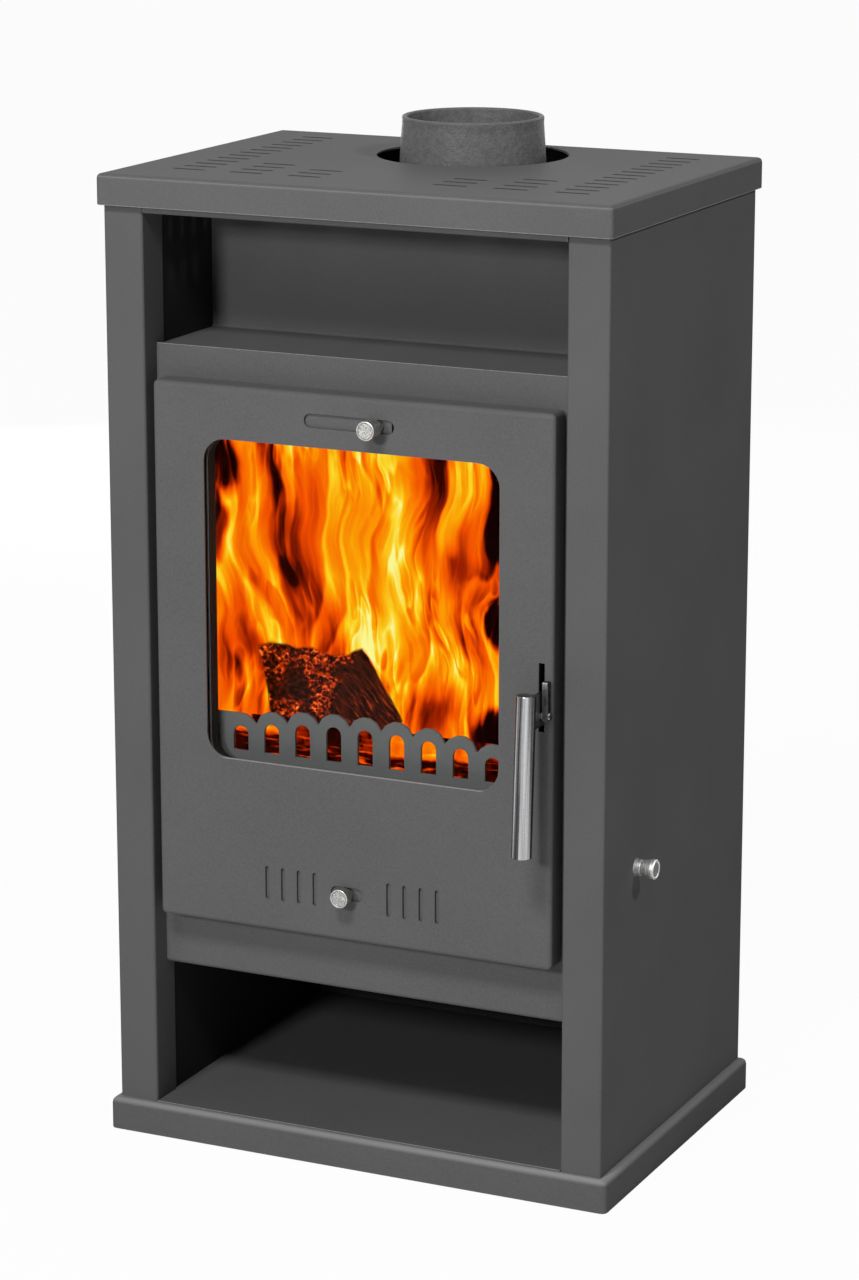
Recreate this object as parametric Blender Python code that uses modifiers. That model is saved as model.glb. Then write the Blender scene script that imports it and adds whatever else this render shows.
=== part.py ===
# A freestanding steel wood stove: a glazed door with air sliders and a lift latch, a lined
# fire chamber with a riddling grate, a warming niche above and a wood bay below.
# Metres. X is the width, Y the depth with the door towards -Y, and Z is up.
# The origin is on the floor, in the middle of the stove.

import math

import bmesh
import bpy
from mathutils import Vector

# Fits
GAP = 0.0003                 # between pieces that touch
RUNNING_GAP = 0.0004         # round pieces that slide or turn
FOLD_RADIUS = 0.001          # inside a plain fold, beyond the sheet's thickness
PLATE_CORNER = 0.002         # of small plates
CUT_REACH = 0.01             # how far a cutting tool runs past the metal

# Base tray
BASE_WIDTH = 0.4646
BASE_DEPTH = 0.3284
BASE_HEIGHT = 0.028
BASE_FORWARD = 0.001         # the base stands this far forward of the casing's middle
BASE_SHEET = 0.002
BASE_EDGE_RADIUS = 0.005
STIFFENER_WIDTH = 0.050
STIFFENER_FLANGE = 0.016
STIFFENER_SLOPE = 0.004

# Casing
BODY_WIDTH = 0.450
BODY_DEPTH = 0.3185
BODY_HEIGHT = 0.830          # floor to the top of the lid
CASING_SHEET = 0.0015
BEND_RADIUS = 0.0025
POST_WIDTH = 0.036
POST_RETURN = 0.034
REAR_FLANGE = 0.020
INNER_WALL_LAP = 0.010       # the inner walls lap behind the posts' returns
RAIL_DROP = 0.0055           # the front rail shows this far below the lid
RAIL_RETURN = 0.015
BACK_PANEL_MARGIN = 0.006    # from the casing's side to the back panel's edge
BACK_SLOT_COUNT = 12
BACK_SLOT_LENGTH = 0.040
BACK_SLOT_WIDTH = 0.005
BACK_SLOT_PITCH = 0.022
BACK_SLOT_RISE = 0.156       # lower row, above the base
BACK_SLOT_DROP = 0.088       # upper row, below the lid's top

# Lid
LID_WIDTH = 0.4573
LID_DEPTH = 0.331
LID_SKIRT = 0.026
LID_SHEET = 0.002
LID_EDGE_RADIUS = 0.004
VENT_LENGTH = 0.0293
VENT_WIDTH = 0.003
VENT_PITCH = 0.0196
VENT_FRONT_Y = -0.110        # the first vent of each column
VENT_COLUMNS = ((0.1714, 13), (0.1184, 4), (0.0653, 3))
FLUE_HOLE_RADIUS = 0.0812

# Flue collar
FLUE_Y = 0.0768
COLLAR_RISE = 0.0333         # above the lid
COLLAR_RIM_RADIUS = 0.0603
COLLAR_FOOT_RADIUS = 0.0632
COLLAR_FLANGE_RADIUS = 0.0665
COLLAR_FLANGE = 0.006
COLLAR_WALL = 0.0045
COLLAR_LIP_SHARE = 0.33      # of the wall, rounded on each side of the rim
COLLAR_CHAMFER = 0.001
COLLAR_FILLET = 0.004        # between the foot and the flange
COLLAR_FLARE = 0.0012
COLLAR_SPIGOT = 0.012
SPIGOT_INSET = 0.002         # the spigot is this much slimmer than the rim

# Front plate of the fire chamber, with the two beams above and below the door
FRONT_PLATE = 0.003
FRONT_RECESS = 0.0205        # behind the posts' faces
NICHE_DROP = 0.141           # from the lid's top to the front plate's top edge
FRONT_HEIGHT = 0.539
FRONT_RETURN = 0.018
MOUTH_WIDTH = 0.300
MOUTH_HEIGHT = 0.426
MOUTH_RISE = 0.065           # above the front plate's bottom edge
MOUTH_RADIUS = 0.010

# Fire chamber
CHAMBER_WIDTH = 0.330
CHAMBER_BACK_Y = 0.141
CHAMBER_SHEET = 0.003
FLOOR_CORNER = 0.0015
ROOF_LAP = 0.001             # the chamber's top beyond its sides
THROAT_RADIUS = 0.010
NICHE_STEP = 0.002           # the front plate stands proud of the niche floor
NICHE_BACK_Y = -0.037
SMOKE_BOX_WIDTH = 0.300
SMOKE_BOX_DEPTH = 0.174
SMOKE_BOX_DROP = 0.0397      # below the lid's top
SMOKE_BOX_SETBACK = 0.0015   # behind the niche's back
SMOKE_BOX_LEDGE = 0.010
SUPPORT_WIDTH = 0.035
SUPPORT_SHEET = 0.002
SUPPORT_INSET = 0.006
SHIELD_FLANGE = 0.015

# Hearth, grate and riddling rod
HEARTH_RISE = 0.144          # above the front plate's bottom edge
HEARTH_THICKNESS = 0.008
HEARTH_RAIL = 0.020
HEARTH_RAIL_SHEET = 0.002
REBATE = 0.005
REBATE_DEPTH = 0.0045
RAIL_HOLE_CLEAR = 0.0015     # round the riddling rod
GRATE_WIDTH = 0.200
GRATE_DEPTH = 0.140
GRATE_FRONT_Y = -0.111
GRATE_THICKNESS = 0.006
GRATE_END_PLAY = 0.011
GRATE_BORDER = 0.010
GRATE_CORNER = 0.003
GRATE_BAR_PITCH = 0.0165
GRATE_SLOT_WIDTH = 0.008
GRATE_SLOT_ROWS = 2
ROD_RADIUS = 0.004
ROD_Y = -0.0898
ROD_RISE = 0.1265
ROD_INNER_X = 0.066
LUG_X = 0.084
LUG_SIZE = 0.014
LUG_FOOT = 0.0035            # below the rod
KNOB_NECK_RADIUS = 0.00665
KNOB_END_RADIUS = 0.00835
KNOB_REACH = 0.018           # beyond the casing
KNOB_FLARE = 0.007
KNOB_TAIL = 0.013            # behind the casing's face
KNOB_CHAMFER = 0.0008
KNOB_RIM = 0.003
KNOB_GROOVE_SETBACK = 0.004
KNOB_GROOVE_HALF = 0.0012
KNOB_GROOVE_FLOOR = 0.0006
KNOB_GROOVE_DEPTH = 0.0007

# Lining
BRICK = 0.025
BRICK_HEIGHT = 0.296
BRICK_CHAMFER = 0.0025
BAFFLE = 0.020
BAFFLE_FRONT_Y = -0.050

# Log guard
GUARD_SHEET = 0.003
GUARD_WIDTH = 0.312
GUARD_PITCH = 0.029
GUARD_HOLES = 9
GUARD_HOLE_WIDTH = 0.0138
GUARD_HOLE_BOTTOM = 0.0525   # above the hearth
GUARD_HOLE_HEIGHT = 0.0308   # of the middle hole
GUARD_RIM = 0.0108           # metal over each hole
GUARD_CROWN = 0.0094         # the row of arches rises this much in the middle
GUARD_SCALLOP_RADIUS = 0.0155

# Ash pan
PAN_WIDTH = 0.236
PAN_DEPTH = 0.210
PAN_HEIGHT = 0.046
PAN_SHEET = 0.0015
PAN_SETBACK = 0.0055         # behind the front plate's rear face
PAN_DRAFT = 0.004
BAIL_RADIUS = 0.0022
BAIL_WIDTH = 0.070
BAIL_REACH = 0.0085
BAIL_DROP = 0.012
BAIL_LEVEL = 0.62            # share of the pan's height
BAIL_FOOT = 0.006
BAIL_BEND = 0.003
BAIL_SHOULDER = 0.008

# Door
DOOR_WIDTH = 0.361
DOOR_HEIGHT = 0.461
DOOR_RISE = 0.0516           # above the front plate's bottom edge
DOOR_PROUD = 0.00335         # in front of the posts' faces
DOOR_DEPTH = 0.021
DOOR_SHEET = 0.002
DOOR_EDGE_RADIUS = 0.0045
WINDOW_WIDTH = 0.267
WINDOW_HEIGHT = 0.271
WINDOW_RISE = 0.1454         # above the door's bottom edge
WINDOW_RADIUS = 0.0195
GLASS = 0.004
GLASS_LAP = 0.0095
GLASS_CORNER = 0.004
GLASS_SEAL = 0.0025
GLASS_SEAL_WIDTH = 0.007
GLASS_SEAL_INSET = 0.002     # from the window's edge to the seal
LINER_SHEET = 0.0015
LINER_MARGIN = 0.012         # outside the mouth, at the sides
LINER_TOP_MARGIN = 0.012
LINER_RECESS = 0.0054        # from the liner's back to the front plate
LINER_REVEAL = 0.001         # the liner's window is larger than the door's
LINER_SILL_DROP = 0.0065     # and reaches this much lower
LINER_CORNER = 0.006
LINER_VENT_MARGIN = 0.004    # round each group of air vents
ROPE_RADIUS = 0.0024
ROPE_OFFSET = 0.004          # from the mouth's edge to the rope's middle
AIRWASH_COUNT = 8
AIRWASH_LENGTH = 0.020
AIRWASH_WIDTH = 0.005
AIRWASH_PITCH = 0.031
AIRWASH_RISE = 0.014         # above the window

# Air controls
UPPER_SLOT_LENGTH = 0.081
UPPER_SLOT_WIDTH = 0.0114
UPPER_SLOT_RISE = 0.49       # above the front plate's bottom edge
UPPER_KNOB_X = 0.025
UPPER_KNOB_REACH = 0.0214
LOWER_SLOT_LENGTH = 0.0296
LOWER_SLOT_X = -0.0039
LOWER_SLOT_RISE = 0.093      # above the front plate's bottom edge
LOWER_KNOB_REACH = 0.0154
AIR_VENT_COUNT = 4           # each side of the lower knob
AIR_VENT_WIDTH = 0.0035
AIR_VENT_HEIGHT = 0.0287
AIR_VENT_PITCH = 0.01475
AIR_VENT_FIRST = 0.0341      # from the middle to the first vent's middle
AIR_VENT_X = 0.0002
SLIDER_SHEET = 0.0015
UPPER_SLIDER_HEIGHT = 0.0172
UPPER_SLIDER_LEFT = -0.045
UPPER_SLIDER_RIGHT = 0.0375
LOWER_SLIDER_HEIGHT = 0.042
LOWER_SLIDER_HALF = 0.095
UPPER_GUIDE_LEFT = -0.118
UPPER_GUIDE_RIGHT = 0.062
UPPER_GUIDE_HEIGHT = 0.0198
LOWER_GUIDE_HALF = 0.113
LOWER_GUIDE_HEIGHT = 0.048
GUIDE_VENT_MARGIN = 0.003    # round each group of air vents
AIR_KNOB_RADIUS = 0.008
AIR_KNOB_STEM = 0.003
AIR_KNOB_CHAMFER = 0.001
AIR_KNOB_UNDERCUT = 0.0012
AIR_KNOB_INSET = 0.0001      # the stem's end, within the slider's rear face
AIR_NUT_ACROSS = 0.010
AIR_NUT_LENGTH = 0.0055
AIR_KNOB_STANDOFF = 0.0004    # from the nut to the knob

# Hinge
HINGE_X = -0.174
HINGE_Y = -0.151
HINGE_PIN_RADIUS = 0.0025
HINGE_PLATE = 0.004
HINGE_EAR_RADIUS = 0.005
HINGE_LUG_REAR = 0.0055      # behind the pin's axis
HINGE_UPPER_RISE = 0.44      # above the front plate's bottom edge
HINGE_LOWER_RISE = 0.118
HINGE_PIN_TAIL = 0.005
HINGE_PIN_CHAMFER = 0.0008
HINGE_PIN_HEAD = 0.0015      # wider than the pin
HINGE_HEAD_RISE = 0.001
HINGE_NOTCH_CLEAR = 0.0012
HINGE_NOTCH_DEPTH = 0.0164

# Handle and latch
HANDLE_X = 0.171
HANDLE_RADIUS = 0.00825
HANDLE_LENGTH = 0.1332
HANDLE_TOP_Y = -0.193
HANDLE_TOP_RISE = 0.291      # above the front plate's bottom edge, as every rise here
HANDLE_LEAN = math.radians(3.4)
HANDLE_CHAMFER = 0.001
HANDLE_JOINT = 0.00036       # between the grip and its lever
HANDLE_SLOT_WIDTH = 0.0053
HANDLE_SLOT_TOP_RISE = 0.31
HANDLE_SLOT_RISE = 0.253
LEVER_THICKNESS = 0.0044
LEVER_TOP_RISE = 0.2865
LEVER_RISE = 0.2595
LEVER_CORNER = 0.006
LEVER_NECK = 0.003
PIVOT_Y = -0.1664
PIVOT_RISE = 0.268
PIVOT_RADIUS = 0.0025
PIVOT_HEAD_RADIUS = 0.0032
PIVOT_HEAD = 0.0013
EAR_LEFT = 0.1746
EAR_WIDTH = 0.0047
EAR_DEPTH = 0.0071
EAR_RISE = 0.2638
EAR_TOP_RISE = 0.2966
EAR_CORNER = 0.0015
NOSE_FRONT_Y = -0.1375
NOSE_BACK_Y = -0.1305
NOSE_TOP_RISE = 0.308
NOSE_CHAMFER = 0.002
KEEPER_GAP = 0.001           # between the nose's tip and the keeper's lip
KEEPER_WIDTH = 0.014
KEEPER_HEIGHT = 0.022
KEEPER_PLATE = 0.0029
KEEPER_HOLE_RADIUS = 0.0022
KEEPER_HOLE_LEVEL = 0.6      # share of the keeper's height
LATCH_WINDOW_SIDE = 0.0023   # clearance beside the lever in the front plate
LATCH_WINDOW_RISE = 0.236

# Places that follow from the sizes above
BODY_SIDE = BODY_WIDTH / 2
BODY_FRONT = -BODY_DEPTH / 2
BODY_BACK = BODY_DEPTH / 2
POST_INNER = BODY_SIDE - POST_WIDTH
CASING_BOTTOM = BASE_HEIGHT + GAP
CASING_TOP = BODY_HEIGHT - LID_SHEET - GAP
INNER_WALL = POST_INNER + CASING_SHEET + GAP
INNER_CLEAR = INNER_WALL - GAP
INNER_BACK = BODY_BACK - CASING_SHEET - GAP
BETWEEN_POSTS = POST_INNER - GAP
BEHIND_RETURNS = BODY_FRONT + POST_RETURN + GAP
FRONT_FACE = BODY_FRONT + FRONT_RECESS
FRONT_REAR = FRONT_FACE + FRONT_PLATE
FRONT_TOP = BODY_HEIGHT - NICHE_DROP
FRONT_BOTTOM = FRONT_TOP - FRONT_HEIGHT
MOUTH_SIDE = MOUTH_WIDTH / 2
MOUTH_BOTTOM = FRONT_BOTTOM + MOUTH_RISE
MOUTH_TOP = MOUTH_BOTTOM + MOUTH_HEIGHT
NICHE_FLOOR = FRONT_TOP - NICHE_STEP
CHAMBER_FRONT = FRONT_REAR + GAP
CHAMBER_SIDE = CHAMBER_WIDTH / 2
CHAMBER_INNER = CHAMBER_SIDE - CHAMBER_SHEET
CHAMBER_ROOF = NICHE_FLOOR - CASING_SHEET - GAP
CHAMBER_TOP = CHAMBER_ROOF - CHAMBER_SHEET - GAP
CHAMBER_FLOOR = MOUTH_BOTTOM
CHAMBER_BOTTOM = CHAMBER_FLOOR - CHAMBER_SHEET
LINING_SIDE = CHAMBER_INNER - 2 * GAP
LINING_BACK = CHAMBER_BACK_Y - CHAMBER_SHEET - 2 * GAP
SMOKE_BOX_FRONT = NICHE_BACK_Y + CASING_SHEET + SMOKE_BOX_SETBACK
SMOKE_BOX_BACK = SMOKE_BOX_FRONT + SMOKE_BOX_DEPTH
SMOKE_BOX_BOTTOM = CHAMBER_ROOF + GAP
SMOKE_BOX_TOP = BODY_HEIGHT - SMOKE_BOX_DROP
COLLAR_TOP = BODY_HEIGHT + COLLAR_RISE
COLLAR_SPIGOT_RADIUS = COLLAR_RIM_RADIUS - SPIGOT_INSET
SHIELD_TOP = FRONT_BOTTOM + FRONT_PLATE + GAP + CASING_SHEET
HEARTH_TOP = FRONT_BOTTOM + HEARTH_RISE
ROD_Z = FRONT_BOTTOM + ROD_RISE
DOOR_SIDE = DOOR_WIDTH / 2
DOOR_FRONT = BODY_FRONT - DOOR_PROUD
DOOR_BACK_OF_SHEET = DOOR_FRONT + DOOR_SHEET
DOOR_REAR = DOOR_FRONT + DOOR_DEPTH
DOOR_BOTTOM = FRONT_BOTTOM + DOOR_RISE
DOOR_TOP = DOOR_BOTTOM + DOOR_HEIGHT
WINDOW_SIDE = WINDOW_WIDTH / 2
WINDOW_BOTTOM = DOOR_BOTTOM + WINDOW_RISE
WINDOW_TOP = WINDOW_BOTTOM + WINDOW_HEIGHT
SEAT_Y = DOOR_BACK_OF_SHEET + GAP
GLASS_FRONT = SEAT_Y + GLASS_SEAL + GAP
GLASS_REAR = GLASS_FRONT + GLASS
LINER_REAR = FRONT_FACE - LINER_RECESS
LINER_SIDE = MOUTH_SIDE + LINER_MARGIN
LINER_TOP = MOUTH_TOP + LINER_TOP_MARGIN
LINER_BOTTOM = DOOR_BOTTOM + DOOR_EDGE_RADIUS
UPPER_SLOT_Z = FRONT_BOTTOM + UPPER_SLOT_RISE
LOWER_SLOT_Z = FRONT_BOTTOM + LOWER_SLOT_RISE
SLIDER_FRONT = SEAT_Y
SLIDER_REAR = SLIDER_FRONT + SLIDER_SHEET
AIR_VENT_SHUT = AIR_VENT_PITCH / 2    # at rest the slider's vents lie between the door's
GUARD_REAR = CHAMBER_FRONT + GUARD_SHEET + GAP
BRICK_FRONT = GUARD_REAR + GAP
BRICK_BOTTOM = HEARTH_TOP + GAP
BRICK_TOP = BRICK_BOTTOM + BRICK_HEIGHT
LEVER_LEFT = HANDLE_X - LEVER_THICKNESS / 2
LEVER_RIGHT = HANDLE_X + LEVER_THICKNESS / 2
LEVER_TOP = FRONT_BOTTOM + LEVER_TOP_RISE
LEVER_BOTTOM = FRONT_BOTTOM + LEVER_RISE
HANDLE_TOP_Z = FRONT_BOTTOM + HANDLE_TOP_RISE
PIVOT_Z = FRONT_BOTTOM + PIVOT_RISE
NOSE_TOP = FRONT_BOTTOM + NOSE_TOP_RISE

# Base colour, roughness and metallic value of each finish
FINISHES = {
    "grey_paint": ((0.125, 0.125, 0.127), 0.55, 0.0),
    "dark_paint": ((0.030, 0.030, 0.031), 0.70, 0.0),
    "cast_iron": ((0.090, 0.090, 0.092), 0.75, 0.3),
    "black_steel": ((0.050, 0.048, 0.047), 0.60, 0.6),
    "zinc": ((0.560, 0.555, 0.540), 0.32, 1.0),
    "chrome": ((0.700, 0.700, 0.705), 0.12, 1.0),
    "fireclay": ((0.480, 0.380, 0.250), 0.95, 0.0),
    "rope": ((0.180, 0.178, 0.172), 0.95, 0.0),
    "glass": ((0.900, 0.860, 0.780), 0.05, 0.0),
}

TURNS = {
    "X": (math.pi / 2, 0, math.pi / 2),
    "Y": (math.pi / 2, 0, 0),
    "Z": (0, 0, 0),
}
DIRECTIONS = {"X": Vector((1, 0, 0)), "Y": Vector((0, 1, 0)), "Z": Vector((0, 0, 1))}


def clear_scene():
    for item in list(bpy.data.objects):
        bpy.data.objects.remove(item, do_unlink=True)


def new_collection(name):
    collection = bpy.data.collections.new(name)
    bpy.context.scene.collection.children.link(collection)
    return collection


clear_scene()
STOVE = new_collection("wood_stove")
CUTTERS = new_collection("cutters")


# Outlines and paths

def arc(centre_u, centre_v, radius, start, end, steps):
    points = []
    for step in range(steps + 1):
        angle = math.radians(start + (end - start) * step / steps)
        points.append((centre_u + radius * math.cos(angle), centre_v + radius * math.sin(angle)))
    return points


def without_repeats(points):
    kept = []
    for point in points:
        if not kept or math.dist(point, kept[-1]) > 1e-6:
            kept.append(point)
    if math.dist(kept[0], kept[-1]) < 1e-6:
        kept.pop()
    return kept


def rounded_rect(left, right, low, high, radius, steps=4):
    corners = ((right - radius, high - radius, 0), (left + radius, high - radius, 90),
               (left + radius, low + radius, 180), (right - radius, low + radius, 270))
    points = []
    for centre_u, centre_v, start in corners:
        points += arc(centre_u, centre_v, radius, start, start + 90, steps)
    return without_repeats(points)


def slot_outline(centre_u, centre_v, length, width, steps=2):
    return rounded_rect(centre_u - length / 2, centre_u + length / 2,
                        centre_v - width / 2, centre_v + width / 2, min(length, width) / 2, steps)


def circle(centre_u, centre_v, radius, steps=24):
    return arc(centre_u, centre_v, radius, 0, 360 * (steps - 1) / steps, steps - 1)


def rectangle(left, right, low, high):
    return [(left, low), (right, low), (right, high), (left, high)]


def bent_path(points, radius, steps=3):
    # Rounds each inner corner of an open path with an arc of the given radius.
    path = [Vector(points[0])]
    for before, corner, after in zip(points, points[1:], points[2:]):
        corner = Vector(corner)
        back = (Vector(before) - corner).normalized()
        ahead = (Vector(after) - corner).normalized()
        half = back.angle(ahead) / 2
        centre = corner + (back + ahead).normalized() * radius / math.sin(half)
        from_corner = corner + back * radius / math.tan(half) - centre
        sweep = math.pi - 2 * half
        turn = 1 if back.x * ahead.y - back.y * ahead.x < 0 else -1
        for step in range(steps + 1):
            angle = turn * sweep * step / steps
            spoke = Vector((from_corner.x * math.cos(angle) - from_corner.y * math.sin(angle),
                            from_corner.x * math.sin(angle) + from_corner.y * math.cos(angle)))
            path.append(centre + spoke)
    path.append(Vector(points[-1]))
    return path


def place(face, u, v, level):
    # The point (u, v) of a drawing on the plane that faces the given axis.
    if face == "X":
        return Vector((level, u, v))
    if face == "Y":
        return Vector((u, level, v))
    return Vector((u, v, level))


# Objects

def finish(item, kind):
    colour, roughness, metallic = FINISHES[kind]
    material = bpy.data.materials.new(item.name + "_finish")
    material.use_nodes = True
    shader = material.node_tree.nodes["Principled BSDF"]
    shader.inputs["Base Color"].default_value = (*colour, 1.0)
    shader.inputs["Roughness"].default_value = roughness
    shader.inputs["Metallic"].default_value = metallic
    if kind == "glass":
        shader.inputs["Transmission Weight"].default_value = 1.0
    item.data.materials.append(material)


def add_part(name, data, kind):
    item = bpy.data.objects.new(name, data)
    STOVE.objects.link(item)
    finish(item, kind)
    return item


def mesh_part(name, shape, kind):
    mesh = bpy.data.meshes.new(name)
    shape.to_mesh(mesh)
    shape.free()
    return add_part(name, mesh, kind)


def thicken(item, sheet):
    solidify = item.modifiers.new("sheet", "SOLIDIFY")
    solidify.thickness = sheet
    solidify.offset = -1
    solidify.use_even_offset = True


def plate(name, kind, outline, holes, thickness, face, middle):
    # A flat piece, drawn as an outline with holes on the plane that faces an axis.
    curve = bpy.data.curves.new(name, "CURVE")
    curve.dimensions = "2D"
    curve.fill_mode = "BOTH"
    curve.extrude = thickness / 2
    for loop in [outline, *holes]:
        spline = curve.splines.new("POLY")
        spline.points.add(len(loop) - 1)
        spline.use_cyclic_u = True
        for point, (u, v) in zip(spline.points, loop):
            point.co = (u, v, 0, 1)
    item = add_part(name, curve, kind)
    item.rotation_euler = TURNS[face]
    item.location = DIRECTIONS[face] * middle
    return item


def bent_sheet(name, kind, path, axis, start, end, sheet):
    # A folded sheet: its path runs along the outer skin with the metal on the path's left.
    shape = bmesh.new()
    corners = [shape.verts.new(place(axis, u, v, start)) for u, v in path]
    edges = [shape.edges.new(pair) for pair in zip(corners, corners[1:])]
    grown = bmesh.ops.extrude_edge_only(shape, edges=edges)["geom"]
    moved = [piece for piece in grown if isinstance(piece, bmesh.types.BMVert)]
    bmesh.ops.translate(shape, verts=moved, vec=DIRECTIONS[axis] * (end - start))
    shape.normal_update()
    (u0, v0), (u1, v1) = path[0], path[1]
    outward = place(axis, v1 - v0, u0 - u1, 0)
    shape.faces.ensure_lookup_table()
    first = min(shape.faces, key=lambda face: (face.calc_center_median() - place(
        axis, (u0 + u1) / 2, (v0 + v1) / 2, (start + end) / 2)).length)
    if first.normal.dot(outward) < 0:
        bmesh.ops.reverse_faces(shape, faces=shape.faces)
    item = mesh_part(name, shape, kind)
    thicken(item, sheet)
    return item


def block(name, kind, low, high, chamfer=0.0, steps=1):
    shape = bmesh.new()
    bmesh.ops.create_cube(shape, size=1)
    low = Vector(low)
    size = Vector(high) - low
    bmesh.ops.scale(shape, verts=shape.verts, vec=size)
    bmesh.ops.translate(shape, verts=shape.verts, vec=low + size / 2)
    if chamfer:
        bmesh.ops.bevel(shape, geom=shape.edges[:], offset=chamfer, segments=steps,
                        profile=0.5, affect="EDGES")
    return mesh_part(name, shape, kind)


def folded_pan(name, kind, low, high, open_side, radius, sheet, steps=3, draft=0.0):
    # A box of sheet metal, open on one side, with every fold rounded.
    shape = bmesh.new()
    bmesh.ops.create_cube(shape, size=1)
    low = Vector(low)
    size = Vector(high) - low
    bmesh.ops.scale(shape, verts=shape.verts, vec=size)
    bmesh.ops.translate(shape, verts=shape.verts, vec=low + size / 2)
    opening = max(shape.faces, key=lambda face: face.normal.dot(Vector(open_side)))
    rim = set(opening.verts)
    bmesh.ops.delete(shape, geom=[opening], context="FACES_ONLY")
    if draft:
        middle = low + size / 2
        for corner in shape.verts:
            if corner not in rim:
                corner.co.x += draft if corner.co.x < middle.x else -draft
                corner.co.y += draft if corner.co.y < middle.y else -draft
    folds = [edge for edge in shape.edges if not edge.is_boundary]
    bmesh.ops.bevel(shape, geom=folds, offset=radius, segments=steps, profile=0.5, affect="EDGES")
    item = mesh_part(name, shape, kind)
    thicken(item, sheet)
    return item


def turned(name, kind, profile, centre, axis, steps=24, closed=False, lean=0.0):
    # A turned piece: its profile lists (radius, height) down the outer side.
    shape = bmesh.new()
    points = [shape.verts.new((radius, 0, height)) for radius, height in profile]
    for pair in zip(points, points[1:]):
        shape.edges.new(pair)
    if closed:
        shape.edges.new((points[-1], points[0]))
    item = mesh_part(name, shape, kind)
    screw = item.modifiers.new("turn", "SCREW")
    screw.steps = steps
    screw.render_steps = steps
    screw.use_merge_vertices = True
    screw.merge_threshold = 0.00001
    screw.use_smooth_shade = True
    item.location = centre
    item.rotation_euler = {"X": (0, math.pi / 2, 0), "-Y": (math.pi / 2, 0, 0), "Z": (lean, 0, 0)}[axis]
    return item


def wire(name, kind, points, radius, closed=False, sides=2):
    curve = bpy.data.curves.new(name, "CURVE")
    curve.dimensions = "3D"
    curve.bevel_depth = radius
    curve.bevel_resolution = sides
    curve.use_fill_caps = True
    spline = curve.splines.new("POLY")
    spline.points.add(len(points) - 1)
    spline.use_cyclic_u = closed
    for point, position in zip(spline.points, points):
        point.co = (*position, 1)
    return add_part(name, curve, kind)


def cutter(name, outlines, face, low, high):
    # One cutting tool made of a prism for each outline.
    shape = bmesh.new()
    for outline in outlines:
        ring = shape.faces.new([shape.verts.new(place(face, u, v, low)) for u, v in outline])
        grown = bmesh.ops.extrude_face_region(shape, geom=[ring])["geom"]
        moved = [piece for piece in grown if isinstance(piece, bmesh.types.BMVert)]
        bmesh.ops.translate(shape, verts=moved, vec=DIRECTIONS[face] * (high - low))
    bmesh.ops.recalc_face_normals(shape, faces=shape.faces)
    mesh = bpy.data.meshes.new(name)
    shape.to_mesh(mesh)
    shape.free()
    item = bpy.data.objects.new(name, mesh)
    item.hide_render = True
    item.display_type = "WIRE"
    CUTTERS.objects.link(item)
    return item


def cut(item, tool):
    boolean = item.modifiers.new(tool.name, "BOOLEAN")
    boolean.operation = "DIFFERENCE"
    boolean.solver = "EXACT"
    boolean.object = tool


def axis_empty(name, position, parent=None):
    empty = bpy.data.objects.new(name, None)
    empty.empty_display_size = 0.02
    empty.location = position
    STOVE.objects.link(empty)
    if parent:
        attach(empty, parent)
    return empty


def attach(child, parent):
    # Parents a piece to an empty without moving it.
    origin = Vector((0, 0, 0))
    holder = parent
    while holder:
        origin += holder.location
        holder = holder.parent
    child.parent = parent
    child.location = Vector(child.location) - origin


# Casing

def base():
    middle = -BASE_FORWARD
    folded_pan("base_plate", "grey_paint",
               (-BASE_WIDTH / 2, middle - BASE_DEPTH / 2, 0),
               (BASE_WIDTH / 2, middle + BASE_DEPTH / 2, BASE_HEIGHT),
               (0, 0, -1), BASE_EDGE_RADIUS, BASE_SHEET)
    flange_low = BASE_HEIGHT - 2 * BASE_SHEET - GAP
    half = STIFFENER_WIDTH / 2
    wide = half + STIFFENER_SLOPE
    reach = BASE_WIDTH / 2 - BASE_EDGE_RADIUS - GAP
    path = [(-wide - STIFFENER_FLANGE, flange_low), (-wide, flange_low), (-half, 0),
            (half, 0), (wide, flange_low), (wide + STIFFENER_FLANGE, flange_low)]
    bent_sheet("base_stiffener", "dark_paint", path, "X", -reach, reach, BASE_SHEET)


def side_panels():
    # Each outer side is folded into the front post, its return and a rear flange.
    for name, side in (("side_panel_left", -1), ("side_panel_right", 1)):
        corners = [(side * POST_INNER, BODY_FRONT + POST_RETURN), (side * POST_INNER, BODY_FRONT),
                   (side * BODY_SIDE, BODY_FRONT), (side * BODY_SIDE, BODY_BACK),
                   (side * (BODY_SIDE - REAR_FLANGE), BODY_BACK)]
        path = bent_path(corners, BEND_RADIUS)
        if side < 0:
            path.reverse()
        panel = bent_sheet(name, "grey_paint", path, "Z", CASING_BOTTOM, CASING_TOP, CASING_SHEET)
        if side > 0:
            hole = circle(ROD_Y, ROD_Z, KNOB_NECK_RADIUS + RUNNING_GAP)
            cut(panel, cutter("knob_hole", [hole], "X", BODY_SIDE - CUT_REACH, BODY_SIDE + CUT_REACH))


def inner_walls():
    # The inner walls line the bay, the fire chamber's sides and the niche.
    front = BODY_FRONT + POST_RETURN - INNER_WALL_LAP
    for name, side in (("inner_wall_left", -1), ("inner_wall_right", 1)):
        holes = [circle(ROD_Y, ROD_Z, ROD_RADIUS + RUNNING_GAP, 16)] if side > 0 else []
        plate(name, "dark_paint", rectangle(front, INNER_BACK, CASING_BOTTOM, CASING_TOP), holes,
              CASING_SHEET, "X", side * (INNER_WALL + CASING_SHEET / 2))


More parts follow.
